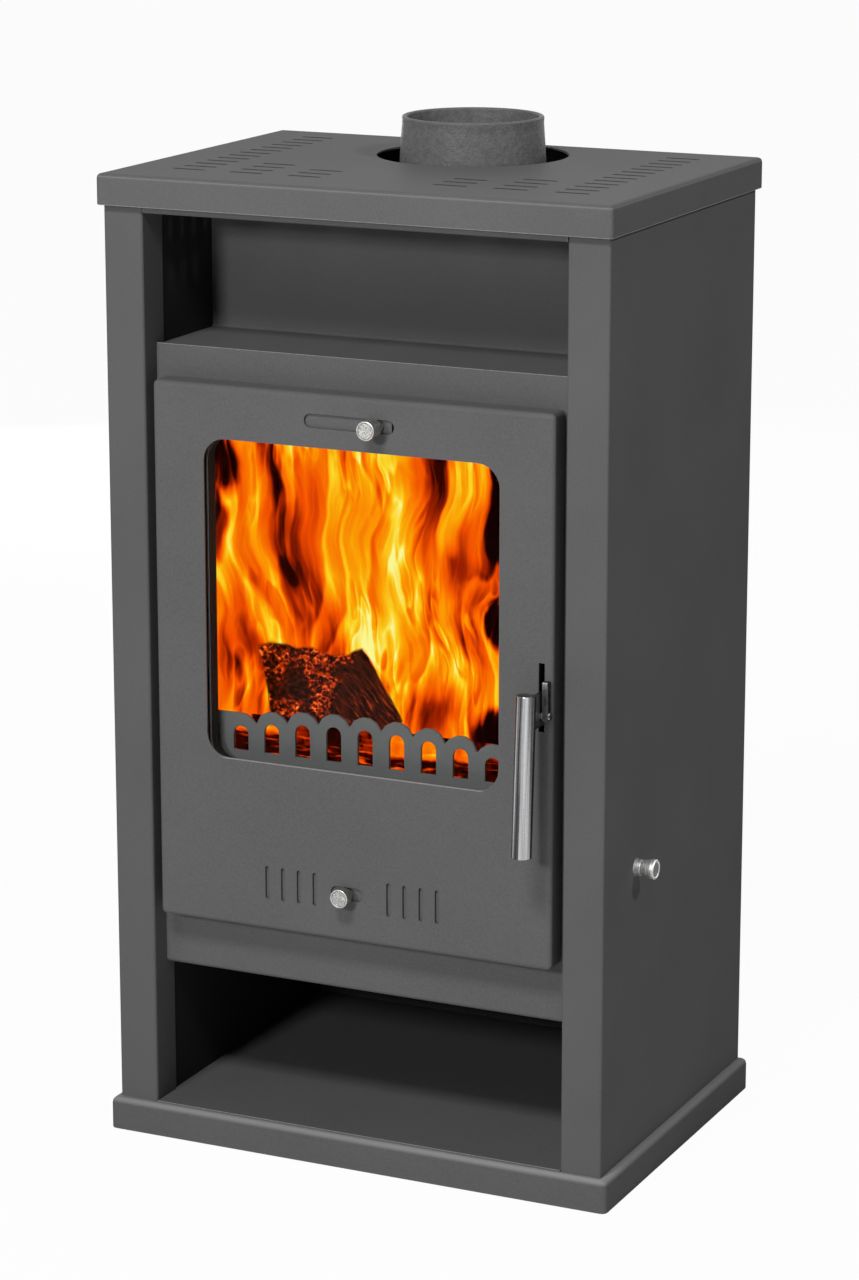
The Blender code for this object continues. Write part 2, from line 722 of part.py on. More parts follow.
def back_panel():
    side = BODY_SIDE - BACK_PANEL_MARGIN
    slots = []
    for row in (BASE_HEIGHT + BACK_SLOT_RISE, BODY_HEIGHT - BACK_SLOT_DROP):
        for index in range(BACK_SLOT_COUNT):
            along = (index - (BACK_SLOT_COUNT - 1) / 2) * BACK_SLOT_PITCH
            slots.append(slot_outline(along, row, BACK_SLOT_WIDTH, BACK_SLOT_LENGTH))
    plate("back_panel", "grey_paint", rectangle(-side, side, CASING_BOTTOM, CASING_TOP), slots,
          CASING_SHEET, "Y", BODY_BACK + GAP + CASING_SHEET / 2)


def bay_floor():
    # The wood bay's floor lies on the base, narrower where the posts' returns stand.
    outline = [(-BETWEEN_POSTS, BODY_FRONT), (BETWEEN_POSTS, BODY_FRONT), (BETWEEN_POSTS, BEHIND_RETURNS),
               (INNER_CLEAR, BEHIND_RETURNS), (INNER_CLEAR, INNER_BACK), (-INNER_CLEAR, INNER_BACK),
               (-INNER_CLEAR, BEHIND_RETURNS), (-BETWEEN_POSTS, BEHIND_RETURNS)]
    plate("bay_floor", "grey_paint", outline, [], CASING_SHEET, "Z", CASING_BOTTOM + CASING_SHEET / 2)


def front_rail():
    low = BODY_HEIGHT - LID_SKIRT - RAIL_DROP
    path = bent_path([(BODY_FRONT + RAIL_RETURN, low), (BODY_FRONT, low), (BODY_FRONT, CASING_TOP)],
                     BEND_RADIUS)
    path.reverse()
    bent_sheet("top_front_rail", "grey_paint", path, "X", -BETWEEN_POSTS, BETWEEN_POSTS, CASING_SHEET)


def vent_outlines():
    vents = []
    for column, count in VENT_COLUMNS:
        for side in (-1, 1):
            for index in range(count):
                vents.append(slot_outline(side * column, VENT_FRONT_Y + index * VENT_PITCH,
                                          VENT_LENGTH, VENT_WIDTH))
    return vents


def lid():
    panel = folded_pan("top_plate", "grey_paint",
                       (-LID_WIDTH / 2, -LID_DEPTH / 2, BODY_HEIGHT - LID_SKIRT),
                       (LID_WIDTH / 2, LID_DEPTH / 2, BODY_HEIGHT),
                       (0, 0, -1), LID_EDGE_RADIUS, LID_SHEET)
    outlines = vent_outlines() + [circle(0, FLUE_Y, FLUE_HOLE_RADIUS, 48)]
    cut(panel, cutter("lid_openings", outlines, "Z", BODY_HEIGHT - CUT_REACH, BODY_HEIGHT + CUT_REACH))


# Fire chamber

def front_plate():
    path = bent_path([(FRONT_FACE, FRONT_TOP), (FRONT_FACE, FRONT_BOTTOM),
                      (FRONT_FACE + FRONT_RETURN, FRONT_BOTTOM)], FRONT_PLATE + FOLD_RADIUS)
    panel = bent_sheet("firebox_front", "grey_paint", path, "X", -BETWEEN_POSTS, BETWEEN_POSTS, FRONT_PLATE)
    mouth = rounded_rect(-MOUTH_SIDE, MOUTH_SIDE, MOUTH_BOTTOM, MOUTH_TOP, MOUTH_RADIUS, 3)
    latch = rectangle(LEVER_LEFT - LATCH_WINDOW_SIDE, LEVER_RIGHT + LATCH_WINDOW_SIDE,
                      FRONT_BOTTOM + LATCH_WINDOW_RISE, NOSE_TOP + KEEPER_GAP)
    cut(panel, cutter("front_openings", [mouth, latch], "Y", FRONT_FACE - CUT_REACH, FRONT_REAR + CUT_REACH))


def chamber():
    # The sides and back are one wrapped sheet, standing on the floor plate's edge.
    path = bent_path([(-CHAMBER_SIDE, CHAMBER_FRONT), (-CHAMBER_SIDE, CHAMBER_BACK_Y),
                      (CHAMBER_SIDE, CHAMBER_BACK_Y), (CHAMBER_SIDE, CHAMBER_FRONT)],
                     CHAMBER_SHEET + FOLD_RADIUS)
    path.reverse()
    wrap = bent_sheet("firebox_wrap", "black_steel", path, "Z", CHAMBER_BOTTOM, CHAMBER_TOP,
                      CHAMBER_SHEET)
    rod_hole = circle(ROD_Y, ROD_Z, ROD_RADIUS + RUNNING_GAP, 16)
    cut(wrap, cutter("wrap_rod_hole", [rod_hole], "X", CHAMBER_SIDE - CUT_REACH, CHAMBER_SIDE + CUT_REACH))
    side = CHAMBER_INNER - GAP
    rear = CHAMBER_BACK_Y - CHAMBER_SHEET - GAP
    plate("firebox_floor", "black_steel",
          rounded_rect(-side, side, CHAMBER_FRONT, rear, FLOOR_CORNER, 1), [],
          CHAMBER_SHEET, "Z", CHAMBER_FLOOR - CHAMBER_SHEET / 2)


def chamber_top():
    # The throat in the chamber's top opens into the smoke box.
    wide = CHAMBER_SIDE + ROOF_LAP
    side = SMOKE_BOX_WIDTH / 2 - SMOKE_BOX_LEDGE
    throat = rounded_rect(-side, side, SMOKE_BOX_FRONT + SMOKE_BOX_LEDGE,
                          SMOKE_BOX_BACK - SMOKE_BOX_LEDGE, THROAT_RADIUS, 2)
    plate("firebox_top", "black_steel", rectangle(-wide, wide, CHAMBER_FRONT, CHAMBER_BACK_Y), [throat],
          CHAMBER_SHEET, "Z", CHAMBER_ROOF - CHAMBER_SHEET / 2)


def niche():
    # The niche's back and floor are one folded sheet, notched round the posts' returns.
    path = bent_path([(NICHE_BACK_Y, CASING_TOP), (NICHE_BACK_Y, NICHE_FLOOR), (CHAMBER_FRONT, NICHE_FLOOR)],
                     BEND_RADIUS)
    sheet = bent_sheet("niche_back", "grey_paint", path, "X", -INNER_CLEAR, INNER_CLEAR, CASING_SHEET)
    notches = []
    for side in (-1, 1):
        ends = sorted((side * BETWEEN_POSTS, side * (INNER_CLEAR + CUT_REACH)))
        notches.append(rectangle(*ends, CHAMBER_FRONT - CUT_REACH, BEHIND_RETURNS))
    cut(sheet, cutter("niche_notches", notches, "Z", NICHE_FLOOR - CUT_REACH, NICHE_FLOOR + CUT_REACH))


def smoke_box():
    box = folded_pan("smoke_box", "black_steel",
                     (-SMOKE_BOX_WIDTH / 2, SMOKE_BOX_FRONT, SMOKE_BOX_BOTTOM),
                     (SMOKE_BOX_WIDTH / 2, SMOKE_BOX_BACK, SMOKE_BOX_TOP),
                     (0, 0, -1), CHAMBER_SHEET + FOLD_RADIUS, CHAMBER_SHEET, 2)
    hole = circle(0, FLUE_Y, COLLAR_SPIGOT_RADIUS + GAP, 40)
    cut(box, cutter("smoke_box_hole", [hole], "Z", SMOKE_BOX_TOP - CUT_REACH, SMOKE_BOX_TOP + CUT_REACH))


def flue_collar():
    seat = SMOKE_BOX_TOP + GAP
    flange = seat + COLLAR_FLANGE
    end = seat - COLLAR_SPIGOT
    bore = COLLAR_RIM_RADIUS - COLLAR_WALL
    lip = COLLAR_WALL * COLLAR_LIP_SHARE
    profile = arc(bore + lip, COLLAR_TOP - lip, lip, 180, 90, 3)
    profile += arc(COLLAR_RIM_RADIUS - lip, COLLAR_TOP - lip, lip, 90, 0, 3)
    profile += [(COLLAR_FOOT_RADIUS, flange + COLLAR_FILLET), (COLLAR_FOOT_RADIUS + COLLAR_FLARE, flange),
                (COLLAR_FLANGE_RADIUS - COLLAR_CHAMFER, flange),
                (COLLAR_FLANGE_RADIUS, flange - COLLAR_CHAMFER), (COLLAR_FLANGE_RADIUS, seat),
                (COLLAR_SPIGOT_RADIUS, seat), (COLLAR_SPIGOT_RADIUS, end), (bore, end)]
    turned("flue_collar", "cast_iron", profile, (0, FLUE_Y, 0), "Z", 40, closed=True)


def supports():
    # The bay's ceiling sheet hangs between the inner walls and carries the chamber's supports.
    top = SHIELD_TOP
    path = bent_path([(INNER_CLEAR, top - SHIELD_FLANGE), (INNER_CLEAR, top),
                      (-INNER_CLEAR, top), (-INNER_CLEAR, top - SHIELD_FLANGE)], CASING_SHEET + GAP)
    bent_sheet("bay_ceiling", "dark_paint", path, "Y", BEHIND_RETURNS, INNER_BACK, CASING_SHEET)
    low = top + GAP
    high = CHAMBER_BOTTOM - GAP
    for name, side in (("firebox_support_left", -1), ("firebox_support_right", 1)):
        outer = side * (CHAMBER_SIDE - SUPPORT_INSET)
        inner = side * (CHAMBER_SIDE - SUPPORT_INSET - SUPPORT_WIDTH)
        path = bent_path([(inner, low), (outer, low), (outer, high), (inner, high)],
                         SUPPORT_SHEET + FOLD_RADIUS, 2)
        if side < 0:
            path.reverse()
        bent_sheet(name, "black_steel", path, "Y", BEHIND_RETURNS, CHAMBER_BACK_Y, SUPPORT_SHEET)


# Hearth, lining and ash pan

def hearth():
    under = HEARTH_TOP - HEARTH_THICKNESS
    rail_top = under - GAP
    side = CHAMBER_INNER - GAP
    for name, sign in (("hearth_rail_left", -1), ("hearth_rail_right", 1)):
        path = bent_path([(sign * side, rail_top - HEARTH_RAIL), (sign * side, rail_top),
                          (sign * (side - HEARTH_RAIL), rail_top)], HEARTH_RAIL_SHEET + FOLD_RADIUS, 2)
        if sign < 0:
            path.reverse()
        rail = bent_sheet(name, "black_steel", path, "Y", CHAMBER_FRONT, LINING_BACK, HEARTH_RAIL_SHEET)
        if sign > 0:
            hole = circle(ROD_Y, ROD_Z, ROD_RADIUS + RAIL_HOLE_CLEAR, 16)
            cut(rail, cutter("rail_rod_hole", [hole], "X", side - CUT_REACH, side + CUT_REACH))
    item = block("hearth_plate", "cast_iron", (-LINING_SIDE, CHAMBER_FRONT, under),
                 (LINING_SIDE, LINING_BACK, HEARTH_TOP))
    half = GRATE_WIDTH / 2 + GRATE_END_PLAY
    front = GRATE_FRONT_Y - RUNNING_GAP
    back = GRATE_FRONT_Y + GRATE_DEPTH + RUNNING_GAP
    above = HEARTH_TOP + CUT_REACH
    recess = rectangle(-half, half, front, back)
    opening = rectangle(-half, half, front + REBATE, back - REBATE)
    cut(item, cutter("grate_recess", [recess], "Z", HEARTH_TOP - REBATE_DEPTH, above))
    cut(item, cutter("grate_opening", [opening], "Z", under - CUT_REACH, above))


def grate(carrier):
    bottom = HEARTH_TOP - REBATE_DEPTH + GAP
    half = GRATE_WIDTH / 2
    back = GRATE_FRONT_Y + GRATE_DEPTH
    columns = int((GRATE_WIDTH - 2 * GRATE_BORDER) / GRATE_BAR_PITCH)
    slot_length = (GRATE_DEPTH - (GRATE_SLOT_ROWS + 1) * GRATE_BORDER) / GRATE_SLOT_ROWS
    slots = []
    for column in range(columns):
        along = (column - (columns - 1) / 2) * GRATE_BAR_PITCH
        for row in range(GRATE_SLOT_ROWS):
            middle = GRATE_FRONT_Y + GRATE_BORDER + slot_length / 2 + row * (slot_length + GRATE_BORDER)
            slots.append(slot_outline(along, middle, GRATE_SLOT_WIDTH, slot_length))
    attach(plate("grate", "cast_iron", rounded_rect(-half, half, GRATE_FRONT_Y, back, GRATE_CORNER, 2), slots,
                 GRATE_THICKNESS, "Z", bottom + GRATE_THICKNESS / 2), carrier)
    low = ROD_Z - ROD_RADIUS - LUG_FOOT
    front = GRATE_FRONT_Y + REBATE + 2 * RUNNING_GAP
    lug = plate("grate_lug", "cast_iron",
                rounded_rect(front, ROD_Y + LUG_SIZE / 2, low, bottom - GAP, PLATE_CORNER, 1),
                [circle(ROD_Y, ROD_Z, ROD_RADIUS + GAP, 16)], LUG_SIZE, "X", LUG_X)
    attach(lug, carrier)


def riddling_rod(carrier):
    neck_start = BODY_SIDE - KNOB_TAIL
    end = BODY_SIDE + KNOB_REACH
    centre = (0, ROD_Y, ROD_Z)
    rod_end = neck_start - GAP
    rod = turned("riddling_rod", "zinc",
                 [(0, rod_end), (ROD_RADIUS, rod_end), (ROD_RADIUS, ROD_INNER_X), (0, ROD_INNER_X)],
                 centre, "X", 16)
    attach(rod, carrier)
    flare = end - KNOB_FLARE
    groove = flare - KNOB_GROOVE_SETBACK
    groove_radius = KNOB_NECK_RADIUS - KNOB_GROOVE_DEPTH
    profile = [(0, end), (KNOB_END_RADIUS - KNOB_CHAMFER, end), (KNOB_END_RADIUS, end - KNOB_CHAMFER),
               (KNOB_END_RADIUS, end - KNOB_RIM), (KNOB_NECK_RADIUS, flare),
               (KNOB_NECK_RADIUS, groove + KNOB_GROOVE_HALF), (groove_radius, groove + KNOB_GROOVE_FLOOR),
               (groove_radius, groove - KNOB_GROOVE_FLOOR), (KNOB_NECK_RADIUS, groove - KNOB_GROOVE_HALF),
               (KNOB_NECK_RADIUS, neck_start), (0, neck_start)]
    attach(turned("riddling_knob", "zinc", profile, centre, "X", 24), carrier)


def lining():
    for name, sign in (("side_brick_left", -1), ("side_brick_right", 1)):
        near = sign * (LINING_SIDE - BRICK)
        far = sign * LINING_SIDE
        block(name, "fireclay", (min(near, far), BRICK_FRONT, BRICK_BOTTOM),
              (max(near, far), LINING_BACK, BRICK_TOP), BRICK_CHAMFER)
    inner = LINING_SIDE - BRICK - GAP
    for name, sign in (("back_brick_left", -1), ("back_brick_right", 1)):
        near = sign * GAP / 2
        far = sign * inner
        block(name, "fireclay", (min(near, far), LINING_BACK - BRICK, BRICK_BOTTOM),
              (max(near, far), LINING_BACK, BRICK_TOP), BRICK_CHAMFER)
    block("baffle_plate", "fireclay", (-LINING_SIDE, BAFFLE_FRONT_Y, BRICK_TOP + GAP),
          (LINING_SIDE, LINING_BACK, BRICK_TOP + GAP + BAFFLE), BRICK_CHAMFER)


def guard_crown(along):
    # How far the row of arches has dropped from its middle at this distance along it.
    span = GUARD_PITCH * (GUARD_HOLES - 1) / 2
    return GUARD_CROWN * (along / span) ** 2


def log_guard():
    bottom = HEARTH_TOP + GAP
    hole_low = HEARTH_TOP + GUARD_HOLE_BOTTOM
    centres = [(index - (GUARD_HOLES - 1) / 2) * GUARD_PITCH for index in range(GUARD_HOLES)]
    half_hole = GUARD_HOLE_WIDTH / 2
    half_side = GUARD_WIDTH / 2
    holes = []
    top = []
    half_pitch = GUARD_PITCH / 2
    sweep = math.degrees(math.asin(min(1, half_pitch / GUARD_SCALLOP_RADIUS)))
    for index, along in enumerate(centres):
        hole_high = hole_low + GUARD_HOLE_HEIGHT - guard_crown(along)
        hole = arc(along, hole_high - half_hole, half_hole, 0, 180, 6)
        holes.append([(along + half_hole, hole_low)] + hole + [(along - half_hole, hole_low)])
        crest = hole_high + GUARD_RIM
        start = 90 + (0 if index == 0 else sweep)
        end = 90 - (0 if index == GUARD_HOLES - 1 else sweep)
        scallop = arc(along, crest - GUARD_SCALLOP_RADIUS, GUARD_SCALLOP_RADIUS, start, end, 5)
        if top:
            before = top.pop()
            scallop[0] = (before[0], (before[1] + scallop[0][1]) / 2)
        top += scallop
    outline = [(-half_side, bottom), (-half_side, top[0][1]), *top,
               (half_side, top[-1][1]), (half_side, bottom)]
    plate("log_guard", "grey_paint", outline, holes, GUARD_SHEET, "Y", GUARD_REAR - GUARD_SHEET / 2)


def ash_pan():
    front = FRONT_REAR + PAN_SETBACK
    low = CHAMBER_FLOOR + GAP
    folded_pan("ash_pan", "black_steel", (-PAN_WIDTH / 2, front, low),
               (PAN_WIDTH / 2, front + PAN_DEPTH, low + PAN_HEIGHT), (0, 0, 1),
               PAN_SHEET + FOLD_RADIUS, PAN_SHEET, 2, PAN_DRAFT)
    grip_z = low + PAN_HEIGHT * BAIL_LEVEL
    half = BAIL_WIDTH / 2
    outer = front - BAIL_REACH
    bend = half - BAIL_BEND
    shoulder = half - BAIL_SHOULDER

    def on_wall(along, height):
        lean = PAN_DRAFT * (low + PAN_HEIGHT - height) / PAN_HEIGHT
        return (along, front + lean - BAIL_RADIUS - GAP, height)

    points = [on_wall(-half, grip_z + BAIL_FOOT), on_wall(-half, grip_z), (-bend, outer, grip_z - BAIL_BEND),
              (-shoulder, outer, grip_z - BAIL_DROP), (shoulder, outer, grip_z - BAIL_DROP),
              (bend, outer, grip_z - BAIL_BEND), on_wall(half, grip_z), on_wall(half, grip_z + BAIL_FOOT)]
    wire("ash_pan_bail", "zinc", points, BAIL_RADIUS)


# Door

def air_vents(shift=0.0):
    vents = []
    for side in (-1, 1):
        for index in range(AIR_VENT_COUNT):
            along = AIR_VENT_X + side * (AIR_VENT_FIRST + index * AIR_VENT_PITCH) + shift
            vents.append(slot_outline(along, LOWER_SLOT_Z, AIR_VENT_WIDTH, AIR_VENT_HEIGHT))
    return vents


def vent_windows(margin):
    # One opening round each group of air vents.
    edge = AIR_VENT_WIDTH / 2 + margin
    last = AIR_VENT_FIRST + (AIR_VENT_COUNT - 1) * AIR_VENT_PITCH
    half = AIR_VENT_HEIGHT / 2 + margin
    windows = []
    for side in (-1, 1):
        ends = sorted((AIR_VENT_X + side * (AIR_VENT_FIRST - edge), AIR_VENT_X + side * (last + edge)))
        windows.append(rounded_rect(*ends, LOWER_SLOT_Z - half, LOWER_SLOT_Z + half, margin, 2))
    return windows


def hinge_levels():
    return (("upper", FRONT_BOTTOM + HINGE_UPPER_RISE), ("lower", FRONT_BOTTOM + HINGE_LOWER_RISE))


def door_panel(carrier):
    panel = folded_pan("door_panel", "grey_paint", (-DOOR_SIDE, DOOR_FRONT, DOOR_BOTTOM),
                       (DOOR_SIDE, DOOR_REAR, DOOR_TOP), (0, 1, 0), DOOR_EDGE_RADIUS, DOOR_SHEET)
    window = rounded_rect(-WINDOW_SIDE, WINDOW_SIDE, WINDOW_BOTTOM, WINDOW_TOP, WINDOW_RADIUS, 6)
    upper = slot_outline(0, UPPER_SLOT_Z, UPPER_SLOT_LENGTH, UPPER_SLOT_WIDTH, 4)
    lower = slot_outline(LOWER_SLOT_X, LOWER_SLOT_Z, LOWER_SLOT_LENGTH, UPPER_SLOT_WIDTH, 4)
    handle = rectangle(HANDLE_X - HANDLE_SLOT_WIDTH / 2, HANDLE_X + HANDLE_SLOT_WIDTH / 2,
                       FRONT_BOTTOM + HANDLE_SLOT_RISE, FRONT_BOTTOM + HANDLE_SLOT_TOP_RISE)
    cut(panel, cutter("door_openings", [window, upper, lower, handle, *air_vents()], "Y",
                      DOOR_FRONT - CUT_REACH, DOOR_BACK_OF_SHEET + CUT_REACH))
    notches = []
    for _, level in hinge_levels():
        notches.append(rectangle(DOOR_REAR - HINGE_NOTCH_DEPTH, DOOR_REAR + CUT_REACH,
                                 level - HINGE_NOTCH_CLEAR, level + HINGE_PLATE + HINGE_NOTCH_CLEAR))
    cut(panel, cutter("hinge_notches", notches, "X", -DOOR_SIDE - CUT_REACH, -DOOR_SIDE + CUT_REACH))
    attach(panel, carrier)


def door_liner(carrier):
    # A tray behind the door sheet; its window collar holds the glass.
    def ring(low, high, side, radius, level):
        return [place("Y", u, v, level) for u, v in rounded_rect(-side, side, low, high, radius, 4)]

    reveal_side = WINDOW_SIDE + LINER_REVEAL
    reveal_low = WINDOW_BOTTOM - LINER_REVEAL - LINER_SILL_DROP
    reveal_high = WINDOW_TOP + LINER_REVEAL
    reveal_radius = WINDOW_RADIUS + LINER_REVEAL
    rings = [ring(LINER_BOTTOM, LINER_TOP, LINER_SIDE, LINER_CORNER, SEAT_Y),
             ring(LINER_BOTTOM, LINER_TOP, LINER_SIDE, LINER_CORNER, LINER_REAR),
             ring(reveal_low, reveal_high, reveal_side, reveal_radius, LINER_REAR),
             ring(reveal_low, reveal_high, reveal_side, reveal_radius, GLASS_REAR + GAP)]
    shape = bmesh.new()
    loops = [[shape.verts.new(point) for point in points] for points in rings]
    for near, far in zip(loops, loops[1:]):
        for index in range(len(near)):
            after = (index + 1) % len(near)
            shape.faces.new((near[index], far[index], far[after], near[after]))
    shape.normal_update()
    shape.faces.ensure_lookup_table()
    if shape.faces[0].normal.dot(shape.faces[0].calc_center_median() * Vector((1, 0, 0))) < 0:
        bmesh.ops.reverse_faces(shape, faces=shape.faces)
    liner = mesh_part("door_liner", shape, "grey_paint")
    thicken(liner, LINER_SHEET)
    openings = vent_windows(LINER_VENT_MARGIN)
    for index in range(AIRWASH_COUNT):
        along = (index - (AIRWASH_COUNT - 1) / 2) * AIRWASH_PITCH
        openings.append(slot_outline(along, WINDOW_TOP + AIRWASH_RISE, AIRWASH_LENGTH, AIRWASH_WIDTH))
    cut(liner, cutter("liner_openings", openings, "Y", LINER_REAR - CUT_REACH, LINER_REAR + CUT_REACH))
    attach(liner, carrier)


def window_outline(margin, radius_margin):
    return rounded_rect(-WINDOW_SIDE - margin, WINDOW_SIDE + margin, WINDOW_BOTTOM - margin,
                        WINDOW_TOP + margin, WINDOW_RADIUS + radius_margin, 4)


def glazing(carrier):
    hole = window_outline(GLASS_SEAL_INSET, GLASS_SEAL_INSET)
    seal = plate("glass_seal", "rope", window_outline(GLASS_SEAL_INSET + GLASS_SEAL_WIDTH, 0), [hole],
                 GLASS_SEAL, "Y", SEAT_Y + GLASS_SEAL / 2)
    outline = rounded_rect(-WINDOW_SIDE - GLASS_LAP, WINDOW_SIDE + GLASS_LAP,
                           WINDOW_BOTTOM - GLASS_LAP, WINDOW_TOP + GLASS_LAP, GLASS_CORNER, 1)
    pane = plate("door_glass", "glass", outline, [], GLASS, "Y", GLASS_FRONT + GLASS / 2)
    attach(seal, carrier)
    attach(pane, carrier)


def door_rope(carrier):
    level = FRONT_FACE - GAP - ROPE_RADIUS
    outline = rounded_rect(-MOUTH_SIDE - ROPE_OFFSET, MOUTH_SIDE + ROPE_OFFSET,
                           MOUTH_BOTTOM - ROPE_OFFSET, MOUTH_TOP + ROPE_OFFSET, MOUTH_RADIUS + ROPE_OFFSET, 4)
    points = [place("Y", u, v, level) for u, v in outline]
    attach(wire("door_rope", "rope", points, ROPE_RADIUS, closed=True), carrier)


def guide(name, left, right, height, middle_z, openings, carrier):
    # A bridge behind a slider: its web runs behind the plate and its ends reach the door sheet.
    web = SLIDER_REAR + GAP
    rear = web + SLIDER_SHEET
    path = bent_path([(right, SEAT_Y), (right, rear), (left, rear), (left, SEAT_Y)],
                     SLIDER_SHEET + FOLD_RADIUS, 2)
    bridge = bent_sheet(name, "zinc", path, "Z", middle_z - height / 2, middle_z + height / 2, SLIDER_SHEET)
    cut(bridge, cutter(name + "_openings", openings, "Y", web - CUT_REACH, rear + CUT_REACH))
    attach(bridge, carrier)


def air_knob(name, x, z, reach, axis):
    # The knob's stem is riveted into the slider and a nut locks it there.
    face = DOOR_FRONT - reach
    tail = SLIDER_REAR - AIR_KNOB_INSET
    length = tail - face
    nut_rear = SLIDER_FRONT - GAP
    shoulder = tail - nut_rear + AIR_NUT_LENGTH + AIR_KNOB_STANDOFF
    profile = [(0, length), (AIR_KNOB_RADIUS - AIR_KNOB_CHAMFER, length),
               (AIR_KNOB_RADIUS, length - AIR_KNOB_CHAMFER), (AIR_KNOB_RADIUS, shoulder + AIR_KNOB_UNDERCUT),
               (AIR_KNOB_RADIUS - AIR_KNOB_UNDERCUT, shoulder),
               (AIR_KNOB_STEM, shoulder), (AIR_KNOB_STEM, 0), (0, 0)]
    attach(turned(name + "_knob", "zinc", profile, (x, tail, z), "-Y", 20), axis)
    corner = AIR_NUT_ACROSS / 2 / math.cos(math.pi / 6)
    nut = plate(name + "_nut", "zinc", circle(x, z, corner, 6),
                [circle(x, z, AIR_KNOB_STEM + GAP, 16)], AIR_NUT_LENGTH, "Y", nut_rear - AIR_NUT_LENGTH / 2)
    attach(nut, axis)


def upper_air(carrier):
    low = UPPER_SLOT_Z - UPPER_SLIDER_HEIGHT / 2
    high = UPPER_SLOT_Z + UPPER_SLIDER_HEIGHT / 2
    axis = axis_empty("upper_air_axis", (UPPER_KNOB_X, SLIDER_FRONT, UPPER_SLOT_Z), carrier)
    slider = plate("upper_air_slider", "grey_paint",
                   rounded_rect(UPPER_SLIDER_LEFT, UPPER_SLIDER_RIGHT, low, high, PLATE_CORNER, 2),
                   [circle(UPPER_KNOB_X, UPPER_SLOT_Z, AIR_KNOB_STEM + GAP, 16)],
                   SLIDER_SHEET, "Y", SLIDER_FRONT + SLIDER_SHEET / 2)
    attach(slider, axis)
    air_knob("upper_air", UPPER_KNOB_X, UPPER_SLOT_Z, UPPER_KNOB_REACH, axis)
    opening = slot_outline(0, UPPER_SLOT_Z, UPPER_SLOT_LENGTH, UPPER_SLOT_WIDTH, 3)
    guide("upper_slider_guide", UPPER_GUIDE_LEFT, UPPER_GUIDE_RIGHT, UPPER_GUIDE_HEIGHT,
          UPPER_SLOT_Z, [opening], carrier)


def lower_air(carrier):
    low = LOWER_SLOT_Z - LOWER_SLIDER_HEIGHT / 2
    high = LOWER_SLOT_Z + LOWER_SLIDER_HEIGHT / 2
    axis = axis_empty("lower_air_axis", (LOWER_SLOT_X, SLIDER_FRONT, LOWER_SLOT_Z), carrier)
    slider = plate("lower_air_slider", "grey_paint",
                   rounded_rect(-LOWER_SLIDER_HALF, LOWER_SLIDER_HALF, low, high, PLATE_CORNER, 2),
                   [circle(LOWER_SLOT_X, LOWER_SLOT_Z, AIR_KNOB_STEM + GAP, 16), *air_vents(AIR_VENT_SHUT)],
                   SLIDER_SHEET, "Y", SLIDER_FRONT + SLIDER_SHEET / 2)
    attach(slider, axis)
    air_knob("lower_air", LOWER_SLOT_X, LOWER_SLOT_Z, LOWER_KNOB_REACH, axis)
    guide("lower_slider_guide", -LOWER_GUIDE_HALF, LOWER_GUIDE_HALF, LOWER_GUIDE_HEIGHT,
          LOWER_SLOT_Z, vent_windows(GUIDE_VENT_MARGIN), carrier)


def hinges(carrier):
    # Each door lug hangs on a pin that stands in a fixed ear of the front plate.
    lug_left = -DOOR_SIDE + DOOR_SHEET + GAP
    lug_right = -LINER_SIDE - GAP
    lug_rear = HINGE_Y + HINGE_LUG_REAR
    fold = DOOR_EDGE_RADIUS - DOOR_SHEET - GAP
    lug_outline = [(lug_left, lug_rear), *arc(lug_left + fold, SEAT_Y + fold, fold, 180, 270, 3),
                   (lug_right, SEAT_Y), (lug_right, lug_rear)]
    for name, level in hinge_levels():
        ear_front = arc(HINGE_X, HINGE_Y, HINGE_EAR_RADIUS, 180, 360, 8)
        base_y = FRONT_FACE - GAP
        outline = [(HINGE_X + HINGE_EAR_RADIUS, base_y), (HINGE_X - HINGE_EAR_RADIUS, base_y), *ear_front]
        hole = circle(HINGE_X, HINGE_Y, HINGE_PIN_RADIUS + GAP, 16)
        plate("hinge_ear_" + name, "grey_paint", without_repeats(outline), [hole], HINGE_PLATE, "Z",
              level + HINGE_PLATE / 2)
        lug_low = level + HINGE_PLATE + GAP
        lug = plate("hinge_lug_" + name, "grey_paint", lug_outline, [hole], HINGE_PLATE, "Z",
                    lug_low + HINGE_PLATE / 2)
        attach(lug, carrier)
        top = lug_low + HINGE_PLATE + HINGE_PIN_TAIL
        bottom = level - HINGE_PIN_TAIL + HINGE_HEAD_RISE
        head = HINGE_PIN_RADIUS + HINGE_PIN_HEAD
        profile = [(0, top), (HINGE_PIN_RADIUS - HINGE_PIN_CHAMFER, top),
                   (HINGE_PIN_RADIUS, top - HINGE_PIN_CHAMFER), (HINGE_PIN_RADIUS, level - GAP),
                   (head, level - GAP), (head, bottom), (0, bottom)]
        turned("hinge_pin_" + name, "zinc", profile, (HINGE_X, HINGE_Y, 0), "Z", 16)


# Handle

def handle_back(height):
    # The rear side of the leaning grip at this height.
    fall = HANDLE_TOP_Z - height
    return HANDLE_TOP_Y - fall * math.tan(HANDLE_LEAN) + HANDLE_RADIUS / math.cos(HANDLE_LEAN)


